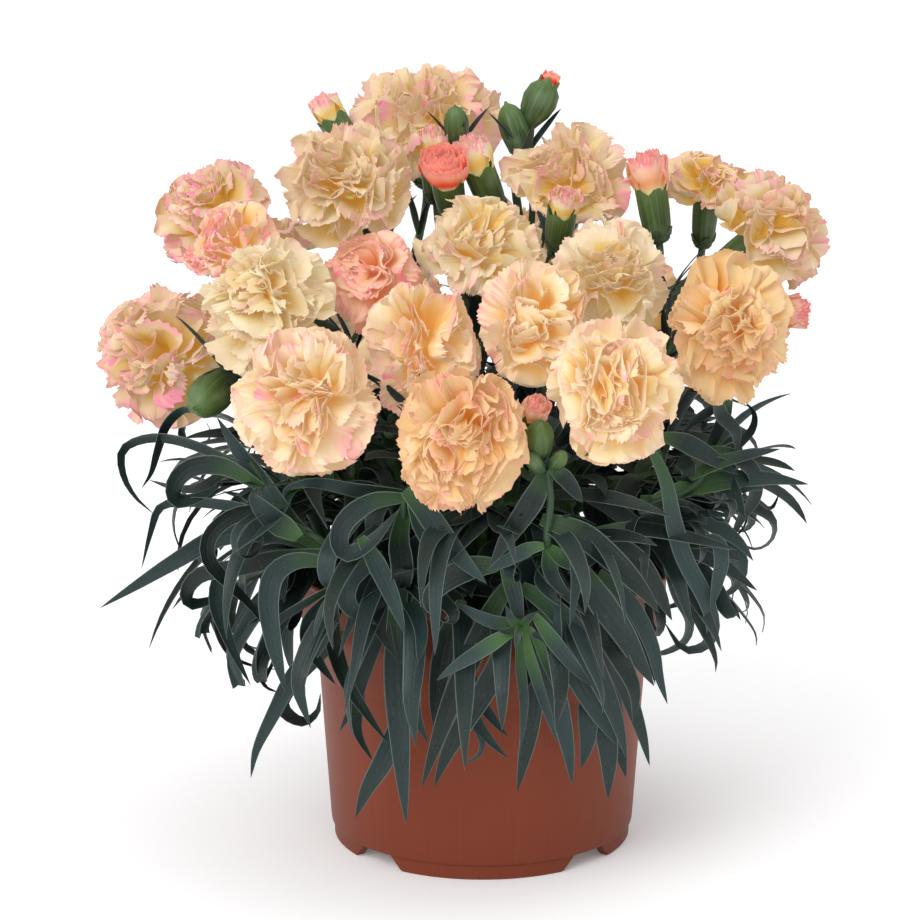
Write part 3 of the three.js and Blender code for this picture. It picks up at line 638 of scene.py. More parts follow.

# %% [markdown]
# The plastic is dull terracotta red with a satin skin. Real pots show faint rings from the mould and a
# little scuffing, so the colour and the shine both drift. Low down it is darker, as painted shade.

# %% Pot finish
pot_finish = Finish("terracotta_plastic", {"IOR": 1.46, "Specular IOR Level": 0.28})
drift = pot_finish.noise(14.0, 4.0)
scuffs = pot_finish.noise(90.0, 6.0, stretch=(18, 0.6, 1)).ease(0.52, 0.75)
speckle = pot_finish.noise(1400.0, 2.0)
pot_spot = pot_finish.node("ShaderNodeTexCoord", output="Object")
pot_height = pot_finish.node("ShaderNodeSeparateXYZ", inputs={0: pot_spot}, output="Z")
# painted shade: the colour darkens towards the pot's foot, where less light reaches it
painted_low_shade = 1 - pot_height.ease(0.0, 0.075)
pot_colour = pot_finish.layered(
    shade(120, 51, 26),
    (drift, shade(132, 59, 33)),
    (scuffs * 0.2, shade(168, 104, 82)),
    (painted_low_shade * 0.3, shade(84, 34, 20)),
)
pot_grain = speckle * 0.5 + scuffs * 0.3
pot_shine = 0.42 + drift * 0.14 + scuffs * 0.1
pot_material = pot_finish.paint(pot_colour, pot_shine, pot_grain, 0.00006, 0.35)
pot = pot_batch.make("plastic_pot", pot_material, "pot_plastic", ["pot"], sharp=40)
print("pot", [round(side / MM) for side in pot.dimensions], "mm,", len(pot.data.polygons), "faces")

# %% [markdown]
# ## The potting mix
#
# Peat-based mix settles into a low mound of crumbs, with chips of bark and white grains of perlite. A
# turned body fills the pot as the root ball does. Its top is roughened by many small bumps, and loose
# chips and grains lie on it.

# %% Root ball
SOIL_TOP = 88.0
SOIL_MOUND = 3.0
MOUND_FLAT = 26.0
SOIL_EDGE = 60.4
SOIL_ROWS = 36
SOIL_STEPS = 96
SOIL_SIDE = [(50.0, 6.6), (53.6, 61.0), (59.6, 80.0), (60.0, 84.5)]
HEAPS = ((6.0, 0.9, 70), (2.6, 0.7, 320))  # their size and depth in mm, and how many there are
soil_numbers = np.random.default_rng(41)


def soil_height(radius):
    top = SOIL_TOP + SOIL_MOUND
    return np.interp(radius, [0, MOUND_FLAT, SOIL_EDGE], [top, top, SOIL_TOP - 2])


def crumbs(x, y):
    """The roughness of the mix, in millimetres, as a sum of many small heaps and pits."""
    height = np.zeros_like(x)
    for size, depth, count in HEAPS:
        places = soil_numbers.uniform(-60, 60, (count, 2))
        depths = soil_numbers.uniform(-1, 1, count) * depth
        for (heap_x, heap_y), heap in zip(places, depths):
            height += heap * np.exp(-((x - heap_x) ** 2 + (y - heap_y) ** 2) / size**2)
    return height


top_radii = np.linspace(59.6, NEAR_AXIS, SOIL_ROWS)
soil_outline = np.array([*SOIL_SIDE, *zip(top_radii, soil_height(top_radii))])
soil_rings = turned_rings(soil_outline, SOIL_STEPS)
rough = soil_rings[len(SOIL_SIDE) + 1:]
rough[:, :, 2] += crumbs(rough[:, :, 0], rough[:, :, 1])
soil_batch = Batch()
add_tube(soil_batch, soil_rings)
print("the mix is up to", round(float(soil_rings[:, :, 2].max()), 1), "mm high")

# %% [markdown]
# A chip of bark and a grain of perlite are the same lumpy blob, one flat and brown, the other round and
# white. A particle system could scatter them, but a loop with seeded draws keeps them in one mesh. Each
# blob carries a tone, and the finish turns that into peat, bark or perlite.

# %% Bark and perlite
CHIPS = 150
GRAINS = 70
CRUMB_LEVELS = np.array([-0.85, -0.3, 0.35, 0.85])
CRUMB_SIDES = 6
SCATTER_RADIUS = 58
BARK = {"sizes": (1.4, 3.6), "flatness": 0.4, "tone": 0.45}
PERLITE = {"sizes": (0.8, 1.7), "flatness": 0.8, "tone": 1.0}


def add_crumb(batch, place, size, flatness, tone):
    """A lumpy grain or chip: a turned blob with its points pushed in and out."""
    outline = np.stack([np.sqrt(1 - CRUMB_LEVELS**2), CRUMB_LEVELS], -1)
    rings = turned_rings(outline, CRUMB_SIDES)
    lumps = soil_numbers.uniform(0.72, 1.1, (len(CRUMB_LEVELS), CRUMB_SIDES, 1))
    rings = rings * lumps * np.array([1, 0.6, flatness]) * size
    tilted = turned_from_up(rings.reshape(-1, 3), direction(soil_numbers.uniform(0, 360), 62))
    add_tube(batch, tilted.reshape(rings.shape) + place, tone=tone)


for number in range(CHIPS + GRAINS):
    radius = SCATTER_RADIUS * math.sqrt(soil_numbers.uniform(0, 1))
    place = around(radius, soil_numbers.uniform(0, 360), 0)
    place[2] = soil_height(radius) + 0.5
    kind = BARK if number < CHIPS else PERLITE
    size = soil_numbers.uniform(*kind["sizes"])
    add_crumb(soil_batch, place, size, kind["flatness"], kind["tone"])

soil_finish = Finish("potting_mix", {"Specular IOR Level": 0.25})
soil_cloud = soil_finish.noise(320.0, 6.0, roughness=0.7)
crumb_tone = soil_finish.value("tone")
soil_colour = soil_finish.layered(
    shade(34, 25, 19),
    (soil_cloud, shade(74, 56, 42)),
    (crumb_tone.ease(0.2, 0.5), shade(96, 66, 44)),
    (crumb_tone.ease(0.6, 0.95), shade(214, 208, 196)),
)
soil_material = soil_finish.paint(soil_colour, 0.75 + soil_cloud * 0.2, soil_cloud, 0.0008, 0.9)
soil = soil_batch.make("root_ball", soil_material, "potting_mix", ["soil"])
print("root ball with", CHIPS, "chips and", GRAINS, "grains,", len(soil.data.polygons), "faces")

# %% [markdown]
# ## Leaves
#
# Carnation leaves are narrow straps with a keel, waxy and blue-green, that spring from the stem in pairs
# and curl over. Each leaf walks forward in small steps while its heading falls, and the room round its
# shoot bends it clear of the pot and of its neighbours. These rooms, pairs and draws are those of the
# solids, so each finer leaf lies exactly where its plain one does.

# %% Rooms for the leaves
RIM_RADIUS = 65.0
RIM_CLEARANCE = 7.0
LOW_NEAREST = 40.0
TALL_NEAREST = 42.0
DOME = {"middle": 36.0, "radius": 114.0, "height": 97.0}
BELOW_DOME = 0.955
ABOVE_DOME = 1.04
SKIRT = {"radius": 82.0, "height": 40.0, "slope": 0.42}
CANOPY = {"height": 133.0, "radius": 96.0, "slope": 0.45}
TALL_REACH = 122.0


def keep_in_wedge(point, compass, half_angle, margin, nearest):
    """Keeps a point inside a shoot's slice of the plant, and at least nearest away from the axis."""
    ahead = direction(compass, 0)
    across = direction(compass + 90, 0)
    forward = keep_above(point.dot(ahead), nearest, 4)
    half_angle = math.radians(half_angle)
    width = forward * math.tan(half_angle) - margin / math.cos(half_angle)
    sideways = point.dot(across)
    kept = np.sign(sideways) * keep_below(abs(sideways), width, 7)
    return ahead * forward + across * kept + UP * point[2]


def change_reach(point, change):
    """Changes how far out in the dome a point is; 1 is on the dome."""
    depth = point - UP * DOME["middle"]
    reach = math.hypot(math.hypot(depth[0], depth[1]) / DOME["radius"], depth[2] / DOME["height"])
    return depth * (change(reach) / reach) + UP * DOME["middle"]


def keep_within(point, radius, softness):
    """Keeps a point within a radius of the pot's axis."""
    out = math.hypot(point[0], point[1])
    share = keep_below(out, radius, softness) / out
    return np.array([point[0] * share, point[1] * share, point[2]])


def rim_room(point, margin):
    """Lifts a point over the pot's rim where it would meet it."""
    kept = point.copy()
    if math.hypot(kept[0], kept[1]) < RIM_RADIUS + RIM_CLEARANCE:
        kept[2] = keep_above(kept[2], POT_TOP + RIM_CLEARANCE, 1)
    return kept


def low_room(compass, half_angle):
    """The low leaves stay inside the dome and outside the pot, and hang inside a cone."""

    def room(point, margin):
        kept = keep_in_wedge(point, compass, half_angle, margin, LOW_NEAREST)
        kept = change_reach(kept, lambda reach: keep_below(reach, BELOW_DOME, 0.12))
        skirt = SKIRT["radius"] + SKIRT["slope"] * max(0, kept[2] - SKIRT["height"])
        kept = keep_within(kept, skirt, 6)
        kept = keep_in_wedge(kept, compass, half_angle, margin, LOW_NEAREST)
        return rim_room(kept, margin)

    return room


def tall_room(compass, half_angle):
    """The tall leaves stay outside the dome and under the blooms."""

    def room(point, margin):
        kept = keep_in_wedge(point, compass, half_angle, margin, TALL_NEAREST)
        kept = change_reach(kept, lambda reach: keep_above(reach, ABOVE_DOME, 0.06))
        beyond = max(0, math.hypot(kept[0], kept[1]) - CANOPY["radius"])
        kept[2] = keep_below(kept[2], CANOPY["height"] + CANOPY["slope"] * beyond, 5)
        return keep_within(kept, TALL_REACH, 8)

    return room


def open_room(point, margin):
    """The leaves on the flower stems have all the room that they want."""
    return point.copy()


lifted = low_room(compass=0, half_angle=22.5)(around(66, 0, 90), margin=4)
print("a point at the rim is lifted to", round(float(lifted[2]), 1), "mm")

# %% [markdown]
# The blade is widest a third of the way along and runs out to a fine tip. Across it the edges stand up
# a little from the midrib, which makes a shallow channel that catches one line of light. Curves with a
# bevel would give a strap of one thickness, so each row of points is placed across its line instead. A
# wandering edge and a slow twist keep hundreds of leaves from looking like copies.

# %% One leaf
LEAF_STEPS = 40
LEAF_ACROSS = np.array([-1, -0.6, 0, 0.6, 1])
LONG_LEAF = 75.0
STEEPEST = -86  # degrees: a leaf that falls hangs almost straight down


def leaf_width(along):
    """The blade's width along it, as a share of its greatest width."""
    opening = 0.42 + 0.58 * np.clip(along / 0.3, 0, 1) ** 0.7
    return opening * np.clip(1 - along**3.1, 0, 1) ** 0.95 + 0.012


def leaf_channel(half, along):
    """How far each point across a blade stands up from its line, and the midrib hangs below it."""
    return 0.3 * half * np.abs(LEAF_ACROSS) ** 1.6 * (1 - 0.35 * along) - 0.12 * half


def leaf_line(root, compass, habit, room):
    """The centres of a leaf, step by step, bent clear of the walls of its room."""
    centres = []
    place = root.copy()
    curl, curl_from = habit.get("curl", 0), habit.get("curl_from", 0.7)
    for i in range(LEAF_STEPS + 1):
        along = i / LEAF_STEPS
        tilt = max(habit["rise"] - habit["bend"] * along ** habit["droop"], STEEPEST)
        tilt -= curl * max(0, (along - curl_from) / (1 - curl_from))
        centres.append(place.copy() if i == 0 else room(place, habit["width"] / 2))
        heading = compass + habit["drift"] * along**1.5 + habit.get("sway", 0) * math.sin(5 * along)
        place = place + direction(heading, tilt) * habit["length"] / LEAF_STEPS
    return np.array(centres)


def leaf_surface(centres, habit, numbers):
    """The middle surface of a leaf along its centres, and how far along it each row is."""
    rows = (20 if habit["length"] > LONG_LEAF else 13) + int(habit.get("curl", 0) / 24)
    alongs = 1 - np.linspace(1, 0, rows) ** (1.5 if habit.get("curl", 0) > 120 else 1)
    places = curve_places(centres, alongs)
    headings = curve_headings(centres, alongs)
    side = np.cross(headings[0], UP)
    surface = []
    wave = numbers.uniform(0, 6.28, 2)
    for place, ahead, along in zip(places, headings, alongs):
        side = unit(side - ahead * side.dot(ahead))
        level = np.cross(ahead, UP)
        if np.linalg.norm(level) > 0.35 and level.dot(side) > 0:
            side = unit(mix(side, unit(level), 0.3))
        twist = math.radians(habit["twist"] * along)
        turned = side * math.cos(twist) - np.cross(side, ahead) * math.sin(twist)
        over = np.cross(turned, ahead)
        half = habit["width"] / 2 * leaf_width(along)
        waver = 0.05 * half * np.sin(9 * along + wave[0] + np.sign(LEAF_ACROSS) * wave[1])
        across = LEAF_ACROSS * half + waver * np.abs(LEAF_ACROSS)
        surface.append(place + across[:, None] * turned + leaf_channel(half, along)[:, None] * over)
    return np.array(surface), alongs


def add_blade(batch, surface, alongs, width, fresh, numbers):
    """Adds a leaf's body: thick at its keel, thin at the margins, and greener at its sheath."""
    alongs = alongs.reshape(-1, 1)
    keel = 0.24 + 0.42 * (1 - np.abs(LEAF_ACROSS)) ** 0.8
    thickness = keel * (1 - 0.55 * alongs) * width / 8
    green = np.clip(fresh + 0.6 * (1 - alongs / 0.25), 0, 1)[None]
    tone = numbers.uniform(-1, 1)
    across = (LEAF_ACROSS + 1) / 2
    add_sheets(batch, surface[None], thickness, across, alongs, tone=tone, fresh=green)


def add_leaf(batch, root, compass, habit, room, fresh, numbers):
    """Adds one leaf that grows from its root by its habit."""
    surface, alongs = leaf_surface(leaf_line(root, compass, habit, room), habit, numbers)
    add_blade(batch, surface, alongs, habit["width"], fresh, numbers)


widest = np.argmax(leaf_width(np.linspace(0, 1, 101)))
print("a blade is widest at", widest, "percent of its length")

# %% [markdown]
# A shoot carries its leaves in pairs that fan out. The plain solids have the pairs that carry the form.
# A living shoot has twice as many, so more pairs grow between those, with smaller, fresher leaves that
# still stand up at the tip. Old leaves also roll up towards their tips, some into a full ring. Copies of
# one modelled leaf would be quicker, but each leaf here has its own length, bend, drift and twist.

# %% Shoots and their pairs
LOW_SHOOTS = 8
TALL_SHOOTS = 6
LOW_WEDGE = 360 / LOW_SHOOTS
TALL_WEDGE = 360 / TALL_SHOOTS
HOLE_DEPTH = 10.0
SHOOT_RADIUS = 1.7


def pair(at, length, width, rise, bend, droop, fan, fresh=0.0):
    """A pair of leaves: its share of the way up the shoot, its sizes in mm and its angles in degrees."""
    return dict(at=at, length=length, width=width, rise=rise, bend=bend, droop=droop, fan=fan,
                fresh=fresh)


LOW_PAIRS = [
    pair(0.62, 98, 7.6, 24, 112, 0.75, 72),
    pair(0.8, 114, 8.2, 34, 122, 0.6, 46),
    pair(0.97, 106, 8.0, 48, 136, 0.62, 22),
]
LOW_EXTRA = [
    pair(0.7, 84, 7.4, 34, 110, 0.7, 64),
    pair(1.0, 86, 7.0, 56, 130, 0.9, 14, 0.25),
    pair(1.0, 52, 5.6, 64, 90, 1.1, 50, 0.6),
    pair(1.0, 32, 4.4, 74, 60, 1.2, 16, 1.0),
]
TALL_PAIRS = [
    pair(0.78, 84, 8.0, 8, 66, 1.0, 78),
    pair(0.88, 94, 8.4, 16, 76, 1.1, 52),
    pair(0.95, 86, 7.8, 24, 72, 1.2, 28),
    pair(1.0, 62, 7.0, 34, 54, 1.2, 10),
]
TALL_EXTRA = [
    pair(0.83, 90, 7.6, 14, 96, 0.8, 64),
    pair(0.98, 80, 7.2, 34, 110, 0.9, 22, 0.2),
    pair(1.0, 50, 5.8, 52, 80, 1.1, 44, 0.6),
    pair(1.0, 34, 4.4, 66, 50, 1.3, 14, 1.0),
]


def leaf_habit(one_pair, side, draw):
    """One leaf's sizes and angles, a little different each time, in the order of the solids' draws."""
    return dict(
        droop=one_pair["droop"],
        turn=side * one_pair["fan"] + 14 * (draw() - 0.5),
        length=one_pair["length"] * mix(0.86, 1.12, draw()),
        width=one_pair["width"] * mix(0.9, 1.1, draw()),
        rise=one_pair["rise"] + 14 * (draw() - 0.5),
        bend=one_pair["bend"] * mix(0.8, 1.16, draw()),
        drift=-side * one_pair["fan"] * mix(0.7, 1.1, draw()),
        twist=60 * (draw() - 0.5),
    )


def roll_up(habit, numbers, most, rareness=2.5):
    """Rolls a leaf up towards its tip and lets it sway. The rarer it is, the fewer leaves roll far."""
    habit["curl"] = most * numbers.uniform(0, 1) ** rareness
    habit["curl_from"] = numbers.uniform(0.45, 0.7)
    habit["sway"] = numbers.uniform(-32, 32)
    habit["twist"] *= 1.5
    return habit


def grow_pairs(batch, line, compass, pairs, room, draw, numbers, rolled, fit, astray=0):
    """Adds pairs of leaves along a shoot.

    rolled says how much they roll up, fit by how much they are shortened and slackened, and astray how
    far in degrees they stray from their fan.
    """
    for one_pair in pairs:
        place = curve_places(line, one_pair["at"])[0]
        for side in (-1, 1):
            habit = roll_up(leaf_habit(one_pair, side, draw), numbers, *rolled)
            habit["length"] *= fit["length"]
            habit["bend"] *= fit["bend"]
            heading = compass + habit["turn"]
            if astray:
                heading += numbers.uniform(-astray, astray)
            add_leaf(batch, place, heading, habit, room, one_pair["fresh"], numbers)


def grow_shoot(name, number, line, compass, pairs, extra, room, seed):
    """Grows one leafy shoot and returns how many leaves its pairs have."""
    batch = Batch()
    numbers = np.random.default_rng(seed)
    add_green_stem(batch, line, SHOOT_RADIUS, 0.75, 15, 0.7)
    to_the_right = math.cos(math.radians(compass))
    before_the_pot = math.sin(math.radians(compass)) < -0.7
    main_roll = (60, 2.5) if before_the_pot else (300, 0.8) if abs(to_the_right) > 0.8 else (150, 2.5)
    extra_roll = (60 if before_the_pot else 420, 2.5)
    fit = {"length": 0.78, "bend": 0.72} if to_the_right > 0.8 else {"length": 1.0, "bend": 1.0}
    if before_the_pot and name == "low_shoot":
        extra = extra[-1:]
        fit["length"] = 0.74
    draw, extra_draw = seeded_draw(seed), seeded_draw(seed + 1000)
    grow_pairs(batch, line, compass, pairs, room, draw, numbers, main_roll, fit)
    grow_pairs(batch, line, compass, extra, room, extra_draw, numbers, extra_roll, fit, 15)
    for plan in SIDE_SHOOTS.get((name, number), ()):
        grow_side_shoot(batch, line, *plan, numbers)
    if name == "low_shoot":
        add_set_leaves(batch, number, line[-1], numbers)
    batch.make(f"leaves_{name}_{number}", leaf_material, "leaf", [f"{name}_{number}"])
    return 2 * (len(pairs) + len(extra))


print(len(LOW_PAIRS + LOW_EXTRA), "pairs on a low shoot,", len(TALL_PAIRS + TALL_EXTRA), "on a tall one")

# %% [markdown]
# Side shoots fill the space between the pot's rim and the flowers. Each is a short stem whose pairs of
# leaves stand crosswise to one another, large and blue below, small and fresh green at the tip.

# %% Side shoots
SIDE_RADIUS = 1.9

# by pair: its share of the side shoot, length and width in mm, fan and bend in degrees, freshness
SIDE_PAIRS = (
    (0.5, 70, 8.0, 70, 84, 0.0),
    (0.65, 78, 8.4, 58, 76, 0.0),
    (0.8, 66, 8.0, 48, 60, 0.15),
    (0.92, 50, 7.0, 38, 46, 0.4),
    (1.0, 34, 5.4, 26, 34, 0.7),
    (1.0, 20, 3.8, 14, 20, 1.0),
)


def grow_side_shoot(batch, line, leaves_at, radius, compass, height, rise, size, youth, numbers):
    """Grows a side shoot from a share of the main shoot's line to its tip."""
    root = curve_places(line, leaves_at)[0]
    tip = around(radius, compass, height)
    axis = direction(compass, rise)
    middle = (root + tip) / 2 + UP * 4 - axis * 3
    centres = [root, middle, tip]
    add_green_stem(batch, centres, SIDE_RADIUS, 0.7, 9, 0.9)
    for number, (at, length, width, fan, bend, fresh) in enumerate(SIDE_PAIRS):
        place = curve_places(centres, at)[0]
        for side in (-1, 1):
            habit = dict(
                length=length * size * numbers.uniform(0.85, 1.15),
                width=width * numbers.uniform(0.9, 1.1),
                bend=bend * numbers.uniform(0.7, 1.4),
                droop=numbers.uniform(0.8, 1.3),
                drift=numbers.uniform(-25, 25),
                twist=numbers.uniform(-30, 30),
            )
            if number % 2:
                habit["rise"] = rise + side * fan
                heading = compass + numbers.uniform(-20, 20)
                if side < 0:
                    habit["bend"] *= 0.4
            else:
                habit["rise"] = rise + numbers.uniform(-8, 12)
                heading = compass + side * fan * 1.15 + numbers.uniform(-8, 8)
            roll_up(habit, numbers, 300 if fresh < 0.2 else 30)
            add_leaf(batch, place, heading, habit, rim_room, fresh * 0.7 + youth, numbers)


# by side shoot: where it leaves the main shoot, the ranges of its tip's radius, of its turn to one side
# in degrees, of its height, rise and size, and how much younger than the main shoot it is
LOW_SIDES = (
    (0.75, (74, 84), 1, (8, 18), (100, 112), (5, 25), (0.65, 0.85), 0.0),
    (0.6, (64, 78), -1, (6, 16), (114, 128), (20, 45), (0.7, 0.9), 0.1),
)
TALL_SIDES = (
    (0.7, (62, 84), 1, (10, 24), (126, 140), (15, 45), (0.7, 0.9), 0.05),
    (0.6, (46, 62), -1, (10, 24), (132, 148), (35, 65), (0.75, 0.95), 0.0),
)
# the low shoots in front and at the sides have one each, just where a gap would show
SET_SIDES = {
    ("low_shoot", 5): [(0.6, 74, 216, 112, 10, 0.6, 0.0)],
    ("low_shoot", 6): [(0.6, 74, 250, 108, 5, 0.6, 0.0)],
    ("low_shoot", 7): [(0.6, 80, 286, 120, 25, 0.5, 0.3)],
    ("low_shoot", 8): [(0.75, 78, 322, 122, 25, 0.6, 0.05)],
}


def side_shoots():
    """The plans of the side shoots, by the main shoot's name and number."""
    numbers = np.random.default_rng(77)
    plans = {}
    mains = (("low_shoot", LOW_SHOOTS, LOW_SIDES), ("tall_shoot", TALL_SHOOTS, TALL_SIDES))
    for name, shoots, sides in mains:
        for number in range(1, shoots + 1):
            compass = 360 / shoots * (number - 0.5)
            plans[name, number] = [
                (at, numbers.uniform(*radius), compass + side * numbers.uniform(*turn),
                 numbers.uniform(*height), numbers.uniform(*rise), numbers.uniform(*size), youth)
                for at, radius, side, turn, height, rise, size, youth in sides
            ]
    return {**plans, **SET_SIDES}


SIDE_SHOOTS = side_shoots()
print(sum(len(plans) for plans in SIDE_SHOOTS.values()), "side shoots")

# %% [markdown]
# Some leaves stand out from the cushion: long straps that arch away at the sides, loops that have rolled
# over, and a fan of straight ones that hangs before the pot. A habit of growth can't place those, so each
# follows its own line of points, as a wire former would bend them one by one. A turn at its foot and one
# at its tip say how far the blade faces away from the front. Twigs of the low shoots carry them.

# %% Leaves on their own lines
# the twigs of each low shoot, as points in mm on from the shoot's tip
TWIGS = {
    5: [[(-50, -64, 119), (-62, -62, 128), (-75, -58, 146)], [(-50, -64, 119), (-45, -66, 101)]],
    6: [[(-25, -80, 140)], [(-28, -80, 119), (-27, -72, 104)]],
    7: [[(11, -81, 96), (12, -85, 99)], [(20, -88, 127), (21, -91, 142), (20, -92, 152)],
        [(34, -78, 119)]],
    8: [[(55, -54, 130), (67, -52, 135), (76, -44, 144)], [(51, -58, 120)], [(55, -62, 154)]],
}

